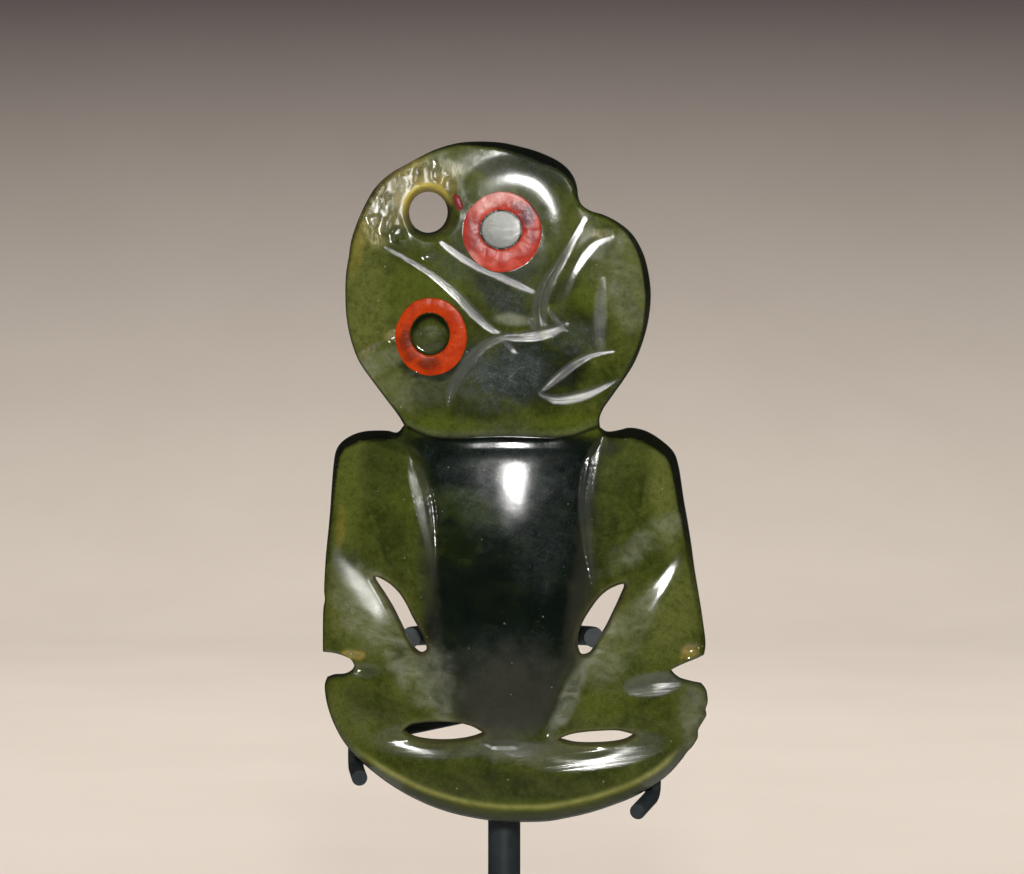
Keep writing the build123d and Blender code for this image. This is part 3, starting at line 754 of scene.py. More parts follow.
def make_stone():
    """Places, faces, photograph coordinates and masks of the whole stone: rim, front and back."""
    loops = stone_loops(LOOP_STEP)
    starts = loop_starts(loops)
    rim_points = np.vstack(loops)
    rim_count = len(rim_points)
    tree = kdtree.KDTree(rim_count)
    for i, (x, y) in enumerate(rim_points):
        tree.insert((x, y, 0), i)
    tree.balance()
    neighbours = [
        np.concatenate([start + np.roll(np.arange(len(loop)), shift) for start, loop in zip(starts, loops)])
        for shift in (-1, 1)
    ]

    def nearest(points):
        """The nearest rim point to each place, and the distance to the rim."""
        index = np.array([tree.find((p[0], p[1], 0))[1] for p in points])
        here = rim_points[index]
        gap = np.hypot(*(points - here).T)
        for neighbour in neighbours:
            step = rim_points[neighbour[index]] - here
            t = np.clip(((points - here) * step).sum(1) / (step**2).sum(1), 0, 1)
            gap = np.minimum(gap, np.hypot(*(points - here - step * t[:, None]).T))
        return index, gap

    rim = rim_values(loops)
    middle = stone_front(*rim_points.T, np.zeros(rim_count), np.arange(rim_count), rim)[0] * MID_SHARE
    for start, loop in zip(starts, loops):
        part = middle[start:start + len(loop)]
        for _ in range(RIM_SMOOTHINGS):
            part = (np.roll(part, 1) + part + np.roll(part, -1)) / 3
        middle[start:start + len(loop)] = part

    low = loops[0].min(0)
    high = loops[0].max(0)
    head_grid = hex_grid(low, (high[0], HEAD_GRID_END), FRONT_STEP_HEAD)
    body_grid = hex_grid((low[0], HEAD_GRID_END + FRONT_STEP_BODY * 0.8), high, FRONT_STEP_BODY)
    front_grid = np.vstack([head_grid, body_grid])
    front_points = sheet_points(loops, nearest, rim[2], front_grid, FRONT_STEP_BODY)
    index, gap = nearest(front_points)
    x, y = front_points.T
    level, found = stone_front(x, y, gap, index, rim)
    level = middle[index] + (level - middle[index]) * quarter_round(gap / rim[2][index])

    back_grid = hex_grid(low, high, BACK_STEP)
    back_points = sheet_points(loops, nearest, np.full(rim_count, BACK_ROUND), back_grid, BACK_STEP)
    back_index, back_gap = nearest(back_points)
    bx, by = back_points.T
    hollow = 0.05 + 0.05 * value_noise(bx, by, 40, 3)
    hollow = hollow + BACK_FLARE * np.clip(1 - bore_place(bx, by)[2] / BACK_FLARE_WIDTH, 0, 1) ** 1.5
    back_lift = quarter_round(back_gap / BACK_ROUND)
    back_level = middle[back_index] + (hollow - middle[back_index]) * back_lift

    front_faces = triangulate(np.vstack([rim_points, front_points]), loops)
    back_faces = triangulate(np.vstack([rim_points, back_points]), loops)[:, ::-1]
    back_faces = np.where(back_faces >= rim_count, back_faces + len(front_points), back_faces)
    all_x, all_y = np.vstack([rim_points, front_points, back_points]).T
    deepest = stone_high.y - stone_low.y - 0.01 * MM
    heights = np.clip(np.concatenate([middle, level, back_level]) * MM, 0, deepest)
    places = np.column_stack([to_x(all_x), stone_high.y - heights, to_z(all_y)])

    on_rim = np.zeros(rim_count)
    on_back = np.zeros(len(back_points))
    masks = {key: np.concatenate([on_rim, values, on_back]) for key, values in found.items()}
    # Painted dark reflection and the foot's painted sheen on the rim itself
    masks["bevel"][:rim_count] = rim[3]
    masks["foot_band"][:rim_count] = ease(*FOOT_ROWS, rim_points[:, 1])
    outer_count = len(loops[0])
    # Painted glow on the rims of the openings, fading into the stone near them
    opening_edge = np.where(np.arange(rim_count) >= outer_count, 1, 0)
    near_opening = np.where(index >= outer_count, np.exp(-gap / GLOW_REACH), 0)
    masks["painted_edge_glow"] = np.concatenate([opening_edge, near_opening, on_back])
    masks["back"] = np.concatenate([on_rim + 0.5, np.zeros(len(x)), on_back + 1])
    return places, np.vstack([front_faces, back_faces]), all_x, all_y, masks


# Colour zones of the stone: middle, half sizes, turn, strength
# Dark places: deep parts of the stone, and painted shade in the corners beside the neck
DARK_ZONES = [
    ((530, 372), (52, 36), -12, 0.85), ((575, 330), (35, 22), 0, 0.45), ((522, 172), (44, 16), 10, 0.6),
    ((500, 258), (46, 30), 25, 0.35), ((470, 330), (26, 40), 40, 0.3), ((400, 440), (26, 14), 20, 0.6),
    ((606, 442), (22, 12), -10, 0.5), ((455, 398), (50, 20), 10, 0.35), ((500, 297), (30, 12), 38, 0.6),
    ((395, 545), (14, 40), -8, 0.3), ((605, 540), (12, 36), 6, 0.3), ((384, 470), (24, 26), 0, 0.3),
    ((372, 700), (26, 12), 25, 0.3),
]
# Deep middle of the back
DARK_BACK_ZONES = [
    ((510, 570), (74, 120), 0, 1.0), ((520, 340), (60, 40), -15, 0.7), ((480, 240), (40, 26), 20, 0.4),
]
# Thin sides and limbs, which are lighter
LIGHT_ZONES = [
    ((366, 300), (28, 80), -5, 1.0), ((385, 378), (34, 24), 35, 0.7), ((452, 165), (50, 24), -12, 0.7),
    ((634, 272), (18, 54), -8, 0.8), ((577, 235), (20, 24), 0, 0.45), ((351, 480), (15, 54), 3, 0.6),
    ((663, 497), (13, 60), -7, 1.0), ((356, 612), (28, 46), -30, 0.9), ((674, 612), (28, 50), 18, 0.9),
    ((350, 712), (28, 32), -30, 0.6), ((690, 715), (20, 36), 0, 0.6), ((598, 700), (30, 20), -20, 0.5),
    ((398, 738), (34, 10), 0, 0.5), ((560, 752), (44, 9), -7, 0.5), ((420, 290), (46, 34), -20, 0.35),
    ((412, 690), (30, 16), -30, 0.4), ((618, 300), (26, 44), -10, 0.7), ((612, 636), (20, 46), 36, 0.7),
]
# Broken and chipped places, cream with brown cracks
CREAM_ZONES = [
    ((402, 184), (38, 26), -25, 1.0), ((380, 214), (18, 30), 15, 0.8), ((440, 178), (24, 14), 0, 0.6),
    ((600, 236), (10, 5), 0, 0.4), ((395, 336), (8, 5), -25, 0.8), ((369, 352), (12, 4), -30, 0.5),
]
# Places where the polish is a little softer, so that a highlight fades at its edges
SATIN_ZONES = [
    ((520, 190), (56, 32), 20, 0.5), ((515, 480), (46, 46), 0, 0.42), ((350, 580), (24, 42), -35, 1.2),
    ((664, 592), (18, 46), 30, 0.05), ((518, 444), (60, 7), 0, 0.3), ((594, 246), (24, 14), 0, 0.3),
    ((501, 232), (25, 24), 0, 0.9), ((508, 748), (34, 12), 0, 1.2), ((410, 750), (44, 12), 8, 0.25),
    ((645, 750), (38, 18), -10, 0.7), ((410, 195), (48, 44), 0, 1.0),
]
# Places where the stone is a clear yellow green, in the deep parts too, and a painted glow along the bottom
# rim
GLOW_ZONES = [
    ((466, 508), (34, 18), 25, 0.9), ((462, 540), (18, 24), 0, 0.35), ((425, 290), (38, 26), -20, 0.5),
    ((400, 480), (20, 60), 0, 0.2), ((585, 300), (14, 18), 0, 0.6), ((590, 425), (48, 12), 0, 0.6),
    ((430, 425), (50, 10), 0, 0.4), ((348, 500), (14, 50), 0, 0.4), ((595, 705), (34, 16), 0, 0.4),
    ((520, 806), (150, 9), 0, 0.6), ((375, 768), (35, 10), 40, 0.6), ((640, 790), (50, 9), -28, 0.2),
]
# Scratched, hazy places that look blue-grey over the dark stone, and a painted sheen round the chest's
# highlight
HAZE_AND_SHEEN_ZONES = [
    ((503, 376), (46, 30), -8, 1.0), ((505, 660), (46, 30), 0, 0.25), ((502, 482), (56, 48), 0, 0.55),
    ((540, 520), (30, 60), 0, 0.3), ((525, 168), (46, 16), 12, 0.35), ((500, 268), (50, 20), 30, 0.5),
    ((575, 338), (30, 16), 0, 0.5), ((450, 268), (22, 12), 30, 0.4), ((500, 300), (34, 12), 35, 0.6),
]
# Brown-grey veils at the foot and along the sides of the torso
SMOKE_ZONES = [
    ((508, 694), (50, 44), 0, 0.85), ((578, 610), (12, 74), 8, 0.6), ((430, 590), (8, 64), -6, 0.35),
    ((500, 785), (110, 16), 0, 0.25),
]
# Pale scuffs
PALE_ZONES = [
    ((372, 606), (26, 44), -30, 0.8), ((404, 655), (17, 50), -34, 0.7), ((652, 537), (48, 13), -35, 0.5),
    ((628, 625), (15, 52), 38, 0.55), ((632, 250), (16, 18), 0, 0.55), ((455, 175), (34, 26), 0, 0.15),
    ((600, 315), (6, 34), 0, 0.6), ((382, 362), (28, 12), -25, 0.5), ((412, 390), (40, 20), 0, 0.3),
    ((610, 655), (36, 18), -45, 0.55), ((694, 712), (16, 32), 0, 0.45), ((430, 668), (20, 32), -35, 0.5),
    ((510, 321), (17, 6), 5, 0.9), ((433, 332), (15, 6), -8, 0.55), ((430, 344), (14, 9), 0, 0.35),
    ((520, 750), (30, 10), 0, 0.4), ((630, 295), (20, 42), -10, 0.5), ((600, 640), (12, 28), 35, 1.0),
    ((434, 690), (9, 42), -26, 0.65), ((571, 692), (8, 42), 26, 0.9),
]
# Yellow-brown stains in worn places
STAIN_ZONES = [
    ((402, 170), (30, 10), -32, 0.9), ((360, 246), (7, 34), 12, 0.3), ((428, 184), (24, 7), 0, 0.7),
    ((404, 208), (9, 22), 0, 0.6), ((688, 650), (10, 7), -20, 1.0), ((354, 653), (11, 4), 5, 0.9),
    ((341, 525), (5, 22), 3, 0.25), ((452, 196), (7, 9), 0, 0.5),
]

# Masks made from zones: name, zones, softness of their edges, share that the back goes without
ZONE_MASKS = [
    ("glow", GLOW_ZONES, 0.45, 0), ("light", LIGHT_ZONES, 0.6, 0), ("haze_and_sheen", HAZE_AND_SHEEN_ZONES, 0.6, 0.7),
    ("cream", CREAM_ZONES, 0.45, 0), ("satin", SATIN_ZONES, 0.6, 0), ("pale", PALE_ZONES, 0.45, 0),
    ("stain", STAIN_ZONES, 0.4, 0), ("smoke", SMOKE_ZONES, 0.6, 1),
]

# Dark places on the wax rings
UPPER_BLOTCHES = [
    ((528, 219), (9, 13), 25, 1.0), ((519, 209), (6, 5), 0, 0.7), ((533, 240), (5, 6), 0, 0.4),
    ((474, 240), (8, 18), 0, 0.55),
]
LOWER_BLOTCHES = [
    ((407, 343), (7, 12), 10, 0.8), ((428, 364), (12, 6), 0, 0.8), ((412, 357), (8, 7), 0, 0.6),
]
# Painted sheen: places on the upper ring painted a light pink where the light glances off its top and lower
# left
UPPER_PAINTED_SHEEN = [
    ((489, 204), (18, 8), -28, 0.8), ((512, 199), (14, 5), 10, 0.5), ((475, 262), (5, 10), -30, 0.6),
]


def zone_mask(x, y, zones, soft=0.45):
    """Soft patches with ragged edges, as strong as their zones say."""
    broad = 0.22 * value_noise(x, y, 13, 21)
    fine = 0.12 * value_noise(x, y, 5, 22)
    mask = np.zeros(x.shape)
    for middle, half, turn, strength in zones:
        radius = blob(x, y, middle, half, turn) + broad + fine
        mask = np.maximum(mask, strength * ease(1.0 + soft, 1.0 - soft, radius))
    return mask


def torso_mask(x, y):
    """The dark torso, a little weaker towards its foot."""
    t = torso_place(x, y)[0] + 0.07 * value_noise(x, y, 19, 23)
    return ease(1.3, 0.86, t) * ease(432, 441, y) * ease(742, 715, y) * (0.8 + 0.2 * ease(700, 620, y))


def bore_side(x, y, toward, reach, sides):
    """A soft patch on one side of the bore's funnel, for its painted shadow and painted light: direction, ends
    of its reach in pixels and of its arc.
    """
    dx, dy, out = bore_place(x, y)
    side = (toward[0] * dx + toward[1] * dy) / np.hypot(dx, dy)
    return ease(*reach, out) * ease(*sides, side)


def ring_shadow(x, y):
    """The painted shadow under the lower ring: a dark crescent."""
    out = (blob(x, y, LOWER_RING["middle"], LOWER_RING["half"]) - 1) * LOWER_RING["half"][0]
    down = (y - LOWER_RING["middle"][1]) / LOWER_RING["half"][1] + 0.15 * value_noise(x, y, 9, 24)
    return 0.8 * ease(9, 3, out + 2.5 * value_noise(x, y, 5, 25)) * ease(0.35, 0.8, down)


def stone_masks(x, y, masks):
    """All that the stone's material reads: the masks of the relief and those of the colour zones."""
    back = masks.pop("back")
    # Painted shadow on the lower side of the bore's funnel and under the lower ring joins the deep tone and
    # the painted shade of the neck corners in the dark mask
    bore_shadow = 0.85 * bore_side(x, y, (0.55, 1), (9, 4), (0.1, 0.6))
    dark_front = np.maximum(zone_mask(x, y, DARK_ZONES, 0.3), torso_mask(x, y))
    dark_front = np.maximum(dark_front, np.maximum(bore_shadow, ring_shadow(x, y)))
    dark_back = 0.7 * zone_mask(x, y, DARK_BACK_ZONES, 0.8)
    masks["dark"] = dark_front * (1 - back) + dark_back * back
    # The painted glow round the openings is kept off the bore's painted shadow
    masks["painted_edge_glow"] = masks["painted_edge_glow"] * (1 - bore_shadow)
    # Painted light on the upper left of the bore's funnel
    masks["painted_bore_light"] = 0.9 * bore_side(x, y, (-0.25, -1), (8, 2), (-0.1, 0.7)) * (1 - back)
    for name, zones, soft, less_behind in ZONE_MASKS:
        masks[name] = zone_mask(x, y, zones, soft) * (1 - less_behind * back)
    return masks


def mesh_object(name, places, faces, masks=None):
    """A smooth mesh in the scene, with a value at each point for each mask."""
    mesh = bpy.data.meshes.new(name)
    mesh.from_pydata([tuple(p) for p in places], [], [tuple(int(i) for i in f) for f in faces])
    mesh.validate()
    mesh.polygons.foreach_set("use_smooth", np.ones(len(mesh.polygons), bool))
    for key, values in (masks or {}).items():
        layer = mesh.attributes.new(key, "FLOAT", "POINT")
        layer.data.foreach_set("value", np.asarray(values, np.float32))
    mesh.update()
    made = bpy.data.objects.new(name, mesh)
    bpy.context.scene.collection.objects.link(made)
    return made


class Nodes:
    """A node tree with short ways to add nodes."""

    def __init__(self, tree):
        self.tree = tree

    def join(self, source, target):
        self.tree.links.new(source, target)

    def put(self, target, value):
        """Join a socket to an input, or set the input's value, with one number for all its parts."""
        if isinstance(value, bpy.types.NodeSocket):
            self.join(value, target)
        elif hasattr(target.default_value, "__len__") and not hasattr(value, "__len__"):
            target.default_value = [value] * len(target.default_value)
        elif hasattr(value, "__len__") and len(value) == 3 and len(target.default_value) == 4:
            target.default_value = (*value, 1)
        else:
            target.default_value = value

    def node(self, kind, **inputs):
        """A new node with its inputs given by name."""
        made = self.tree.nodes.new("ShaderNode" + kind)
        for name, value in inputs.items():
            self.put(made.inputs[name.replace("_", " ")], value)
        return made

    def between(self, value, low, high, start=0.0, end=1.0):
        """A value moved from one range to another and held there."""
        ends = {"From_Min": low, "From_Max": high, "To_Min": start, "To_Max": end}
        return self.node("MapRange", Value=value, **ends).outputs["Result"]


class Shader(Nodes):
    """A material with a colour laid on in coats and textures in mm."""

    def __init__(self, name):
        self.material = bpy.data.materials.new(name)
        self.material.use_nodes = True
        super().__init__(self.material.node_tree)
        self.tree.nodes.clear()
        self.surface = self.node("BsdfPrincipled")
        self.join(self.surface.outputs[0], self.node("OutputMaterial").inputs["Surface"])
        self.place = self.scaled((1000, 1000, 1000), 0, self.node("TexCoord").outputs["Object"])
        self.colour = None

    def scaled(self, size, turn=0, vector=None):
        """Coordinates scaled, then turned about the line of sight."""
        turned = (0, math.radians(turn), 0)
        node = self.node("Mapping", Vector=vector or self.place, Scale=size, Rotation=turned)
        return node.outputs["Vector"]

    def noise(self, scale, detail, rough, bend=0.0, vector=None):
        shape = {"Scale": scale, "Detail": detail, "Roughness": rough, "Distortion": bend}
        return self.node("TexNoise", Vector=vector or self.place, **shape).outputs["Fac"]

    def cells(self, scale):
        return self.node("TexVoronoi", Vector=self.place, Scale=scale).outputs["Distance"]

    def mask(self, name):
        node = self.node("Attribute")
        node.attribute_name = name
        return node.outputs["Fac"]

    def math(self, kind, a, b=0.0):
        node = self.node("Math")
        node.operation = kind
        self.put(node.inputs[0], a)
        self.put(node.inputs[1], b)
        return node.outputs[0]

    def times(self, a, b):
        return self.math("MULTIPLY", a, b)

    def apart(self, a, b):
        return self.math("ABSOLUTE", self.math("SUBTRACT", a, b))

    def patch(self, name, noise, low, high, start=0.0, end=1.0):
        """A mask that a noise breaks up."""
        return self.times(self.mask(name), self.between(noise, low, high, start, end))

    def mix(self, share, first, second):
        node = self.node("Mix")
        node.data_type = "RGBA"
        self.put(node.inputs["Factor"], share)
        colours = [socket for socket in node.inputs if socket.type == "RGBA"]
        self.put(colours[0], first)
        self.put(colours[1], second)
        return [socket for socket in node.outputs if socket.type == "RGBA"][0]

    def coat(self, share, tone):
        """A further colour over the ones below it."""
        self.colour = self.mix(share, self.colour, tone)

    def bump(self, height, strength, distance, normal=None):
        node = self.node("Bump", Height=height, Strength=strength, Distance=distance)
        if normal is not None:
            self.join(normal, node.inputs["Normal"])
        return node.outputs["Normal"]

    def set(self, **values):
        for name, value in values.items():
            self.put(self.surface.inputs[name.replace("_", " ")], value)


def stone_ground(s, broad, middle):
    """Mottled green, lighter and more yellow where the stone is thin, nearly black where it is deep and under
    painted shade in the corners beside the neck, in the bore's funnel and under the lower ring.
    """
    mottle = s.noise(1.3, 6, 0.72, 0.7)
    veil = s.noise(1.0, 5, 0.55, 0.8, s.scaled((0.13, 0.3, 0.22), -12))
    s.colour = s.mix(s.between(broad, 0.35, 0.65), (0.034, 0.045, 0.005), (0.088, 0.108, 0.016))
    s.coat(s.between(middle, 0.4, 0.7, 0, 0.35), (0.022, 0.034, 0.005))
    s.coat(s.patch("light", middle, 0.3, 0.55, 0.55, 1), (0.130, 0.148, 0.034))
    s.coat(s.patch("glow", middle, 0.3, 0.6, 0.6, 1), (0.098, 0.132, 0.010))
    s.coat(s.between(mottle, 0.5, 0.66, 0, 0.5), (0.018, 0.026, 0.004))
    s.coat(s.between(mottle, 0.46, 0.32, 0, 0.3), (0.150, 0.170, 0.060))
    deep = s.mix(s.between(broad, 0.4, 0.7), (0.0012, 0.0036, 0.0040), (0.003, 0.0075, 0.0045))
    deep = s.mix(s.between(veil, 0.46, 0.72, 0, 0.6), deep, (0.013, 0.021, 0.010))
    deep = s.mix(s.patch("glow", veil, 0.35, 0.6, 0.35, 1.0), deep, (0.036, 0.052, 0.006))
    # Near black for the deep stone and for the painted shade
    s.coat(s.patch("dark", broad, 0.3, 0.5, 0.92, 1.0), deep)


def stone_veils(s, broad, scuffs):
    """Blue-grey haze with hair scratches and a painted sheen round the chest's highlight, brown-grey smoke and
    pale scuffs.
    """
    wisp = s.noise(1.0, 6, 0.6, 1.0, s.scaled((0.2, 0.3, 0.34), 35))
    haze_and_sheen = s.patch("haze_and_sheen", scuffs, 0.38, 0.62, 0.25, 1)
    s.coat(s.times(haze_and_sheen, 0.8), (0.078, 0.093, 0.098))
    for turn, seat in ((38, 0.44), (-24, 0.55), (80, 0.5)):
        hair = s.noise(1.0, 1, 0.5, 0.0, s.scaled((0.22, 0.5, 2.6), 0, s.scaled((1, 1, 1), turn)))
        line = s.between(s.apart(hair, seat), 0.0, 0.012, 0.55, 0)
        s.coat(s.times(haze_and_sheen, line), (0.24, 0.29, 0.31))
    s.coat(s.patch("smoke", broad, 0.3, 0.6, 0.75, 1), (0.046, 0.045, 0.036))
    s.coat(s.times(s.patch("pale", wisp, 0.38, 0.62, 0.15, 1), 0.75), (0.31, 0.33, 0.25))


def stone_marks(s, broad, middle, grain):
    """Cream chips with dark cracks by the bore, light flecks, fine dark grain, yellow stains and painted light
    on the upper left of the bore's funnel.
    """
    chips = s.noise(1.0, 4, 0.65, 1.0, s.scaled((1.3, 1, 0.55), 20))
    bright = s.mix(s.between(chips, 0.52, 0.66), (0.34, 0.32, 0.13), (0.80, 0.76, 0.48))
    s.coat(s.patch("cream", middle, 0.32, 0.6, 0.45, 1), bright)
    s.coat(s.patch("cream", s.apart(chips, 0.47), 0.0, 0.05, 0.85, 0.0), (0.075, 0.062, 0.016))
    s.coat(s.times(s.between(s.cells(0.33), 0.05, 0.02), 0.7), (0.42, 0.45, 0.34))
    small = s.between(s.cells(1.1), 0.09, 0.04)
    s.coat(s.times(small, s.between(broad, 0.4, 0.65, 0, 0.4)), (0.36, 0.40, 0.27))
    s.coat(s.between(grain, 0.45, 0.75, 0, 0.25), (0.02, 0.03, 0.008))
    s.coat(s.patch("stain", middle, 0.35, 0.6, 0.35, 1), (0.40, 0.31, 0.055))
    # Painted light: yellow on the upper left of the bore's funnel
    s.coat(s.mask("painted_bore_light"), (1.0, 0.82, 0.12))


def stone_edges(s, middle, scuffs, streaks):
    """Grey unpolished cuts, a grey band on the foot of scuffs and painted sheen with a painted glow line along
    it, black painted dark reflections on the bevels, black painted shade in creases and a painted glow round
    openings.
    """
    s.coat(s.times(s.patch("rough_cut", streaks, 0.3, 0.7, 0.5, 1.0), 0.66), (0.118, 0.124, 0.122))
    # A grey band on the foot's bevel, part scuffs and part painted sheen, and a painted glow line along it
    s.coat(s.patch("foot_band", scuffs, 0.35, 0.65, 0.5, 0.9), (0.098, 0.104, 0.094))
    s.coat(s.patch("painted_rim_glow", middle, 0.3, 0.6, 0.6, 1), (0.29, 0.30, 0.085))
    # Painted dark: the dark reflection on the bevels and the shade in creases
    edge = s.math("MAXIMUM", s.mask("bevel"), s.mask("crease_shade"))
    s.coat(s.times(edge, 0.93), (0.003, 0.004, 0.003))
    # Painted glow round the openings
    s.coat(s.times(s.mask("painted_edge_glow"), 0.5), (0.30, 0.27, 0.09))


def greenstone():
    s = Shader("greenstone")
    broad = s.noise(0.16, 5, 0.6, 1.2)
    middle = s.noise(0.45, 5, 0.6, 0.8)
    grain = s.noise(2.2, 4, 0.6)
    scuffs = s.noise(1.0, 8, 0.8, 0.3, s.scaled((0.35, 0.5, 0.55), 30))
    streaks = s.noise(3.0, 3, 0.6, 0.3, s.node("CombineXYZ", X=s.mask("stroke")).outputs[0])
    stone_ground(s, broad, middle)
    stone_veils(s, broad, scuffs)
    stone_marks(s, broad, middle, grain)
    stone_edges(s, middle, scuffs, streaks)
    s.set(Base_Color=s.colour, IOR=1.62, Subsurface_Weight=0.35, Subsurface_Scale=0.0016)
    s.set(Subsurface_Radius=(1.0, 1.15, 0.35))
    polish = s.math("ADD", s.between(middle, 0.35, 0.65, 0.06, 0.09), s.times(s.mask("rough_cut"), 0.12))
    polish = s.math("ADD", polish, s.times(s.mask("satin"), 0.2))
    s.set(Roughness=polish, Specular_Tint=s.mix(s.mask("crease_shade"), (1, 1, 1), (0, 0, 0)))
    marks = s.times(s.mask("rough_cut"), streaks)
    marks = s.math("ADD", marks, s.times(s.mask("haze_and_sheen"), s.times(scuffs, 0.5)))
    s.set(Normal=s.bump(grain, 0.03, 0.0002, s.bump(marks, 1.0, 0.00005)))
    return s.material


def wax(name, light, deep, pit, gloss, pit_share):
    """Clouded wax, darker in its pits and blotches and paler where a sheen is painted."""
    s = Shader(name)
    cloud = s.noise(0.5, 5, 0.6, 0.6)
    grain = s.noise(3.5, 5, 0.65)
    specks = s.noise(1.6, 5, 0.75, 1.0)
    pits = s.between(s.noise(2.6, 3, 0.7, 0.8), 0.70 - pit_share, 0.78 - pit_share)
    s.colour = s.mix(s.between(cloud, 0.38, 0.62), deep, light)
    s.coat(s.between(specks, 0.56, 0.72, 0, 0.7), [part * 0.45 for part in deep])
    s.coat(s.times(pits, 0.85), pit)
    s.coat(s.patch("blotch", grain, 0.25, 0.5), pit)
    # Painted sheen: a light pink where light glances off the ring
    s.coat(s.patch("painted_sheen", specks, 0.35, 0.55, 0.4, 1.0), (0.78, 0.40, 0.36))
    s.set(Base_Color=s.colour, IOR=1.22, Subsurface_Weight=0.1, Subsurface_Scale=0.0004)
    s.set(Roughness=s.between(grain, 0.3, 0.7, gloss, gloss + 0.12))
    height = s.math("SUBTRACT", s.times(grain, 0.5), s.times(pits, 1.2))
    s.set(Normal=s.bump(height, 0.5, 0.00006))
    return s.material


def dark_paint(name, tone, worn_tone):
    """Satin paint with a few worn specks."""
    s = Shader(name)
    cloud = s.noise(0.35, 4, 0.6)
    grain = s.noise(5.0, 4, 0.6)
    worn = s.between(s.noise(1.4, 6, 0.75, 0.6), 0.66, 0.72)
    s.colour = s.mix(s.between(cloud, 0.35, 0.65), tone, [part * 1.5 for part in tone])
    s.coat(s.times(worn, 0.6), worn_tone)
    s.set(Base_Color=s.colour, Metallic=0.25, Roughness=s.between(grain, 0.3, 0.7, 0.34, 0.5))
    s.set(Normal=s.bump(grain, 0.12, 0.0002))
    return s.material


def pale_floor():
    """A pale floor with painted shade that turns it grey up the wall behind."""
    s = Shader("pale_floor")
    height = s.node("SeparateXYZ", Vector=s.place).outputs["Z"]
    cloud = s.noise(0.01, 3, 0.5)
    s.colour = s.mix(s.between(cloud, 0.3, 0.7), (0.93, 0.84, 0.74), (0.97, 0.88, 0.78))
    # Painted shade: the floor turns grey with height up the wall
    s.coat(s.between(height, 20, 418), (0.130, 0.108, 0.108))
    s.set(Base_Color=s.colour, Roughness=0.85)
    return s.material


def front_places(x, y, level):
    """Places in the frame, at a level in mm above the stone's back."""
    return np.column_stack([to_x(x), stone_high.y - level * MM, to_z(y)])


def band_faces(rows, turns, closed):
    """Four-sided faces between rings of points, and from the last ring to the first where closed."""
    faces = []
    for i in range(rows if closed else rows - 1):
        j = (i + 1) % rows
        for k in range(turns):
            m = (k + 1) % turns
            faces.append((i * turns + k, i * turns + m, j * turns + m, j * turns + k))
    return faces


def ring_mesh(ring, seed):
    """A wax ring that fills its pocket: worn edges, small dents, closed underneath."""
    turn = np.linspace(0, 2 * math.pi, RING_TURNS, endpoint=False)
    wobble = 0.5 * value_noise(turn * 30, turn * 0, 6, seed) * np.sin(turn / 2) ** 2
    around = (np.cos(turn), np.sin(turn))
    inner = [ring["pupil"][k] + (ring["pupil_half"][k] + wobble * 0.6) * around[k] for k in (0, 1)]
    outer = [ring["middle"][k] + (ring["half"][k] + wobble) * around[k] for k in (0, 1)]
    places = []
    spots = []
    for share, high, drop in RING_SECTION:
        x, y = (low + (far - low) * share for low, far in zip(inner, outer))
        front = plate_level(x, y)
        surface = front + RING_PROUD * high
        surface = surface - 0.06 * np.clip(value_noise(x, y, 6, seed + 1), 0, 1)
        surface = surface - 0.03 * np.abs(value_noise(x, y, 3, seed + 2))
        level = surface - drop if high else front - RING_ROOT + 0.05
        places.append(front_places(x, y, level))
        spots.append((x, y))
    x, y = np.hstack(spots)
    return np.vstack(places), band_faces(len(places), RING_TURNS, True), x, y


def wax_remnant():
    """A thumbed scrap of wax left on the worn right side of the bore."""
    turn = np.linspace(0, 2 * math.pi, SCRAP_TURNS, endpoint=False)
    wobble = 1 + 0.22 * value_noise(np.cos(turn) * 9, np.sin(turn) * 9, 4, 51)
    places = []
    for share, rise in SCRAP_SECTION:
        x = SCRAP_MIDDLE[0] + SCRAP_HALF[0] * share * wobble * np.cos(turn) + 2.0 * share * np.sin(turn)
        y = SCRAP_MIDDLE[1] + SCRAP_HALF[1] * share * wobble * np.sin(turn)
        level = plate_level(x, y) - bore_relief(x, y) - 0.1 + rise + 0.05 * value_noise(x, y, 3, 52)
        places.append(front_places(x, y, level))
    faces = [face[::-1] for face in band_faces(len(places), SCRAP_TURNS, False)]
    return np.vstack(places), [tuple(range(SCRAP_TURNS))] + faces


# The stone
places, faces, px, py, relief_masks = make_stone()
stone = mesh_object("tiki_stone", places, faces, stone_masks(px, py, relief_masks))
stone.data.materials.append(greenstone())
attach(stone, "root")
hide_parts("stone_figure")

# The wax rings
SALMON_WAX = wax("salmon_wax", (0.56, 0.074, 0.045), (0.40, 0.034, 0.019), (0.10, 0.016, 0.035), 0.16, 0.0)
ORANGE_WAX = wax("orange_wax", (0.54, 0.050, 0.003), (0.40, 0.030, 0.002), (0.07, 0.012, 0.005), 0.2, 0.05)
for name, node, slot, ring, blotches, scuffs, finish, seed in (
    ("wax_ring_upper", "eye_ring_upper", "upper_wax", UPPER_RING, UPPER_BLOTCHES, UPPER_PAINTED_SHEEN,
     SALMON_WAX, 31),
    ("wax_ring_lower", "eye_ring_lower", "lower_wax", LOWER_RING, LOWER_BLOTCHES, [], ORANGE_WAX, 41),
):
    places, faces, rx, ry = ring_mesh(ring, seed)
    # Painted sheen on the upper ring, from its list of places; the lower ring has none
    marks = {"blotch": zone_mask(rx, ry, blotches), "painted_sheen": zone_mask(rx, ry, scuffs)}
    piece = mesh_object(name, places, faces, marks)
    piece.data.materials.append(finish)
    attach(piece, "root")
    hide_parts(node)

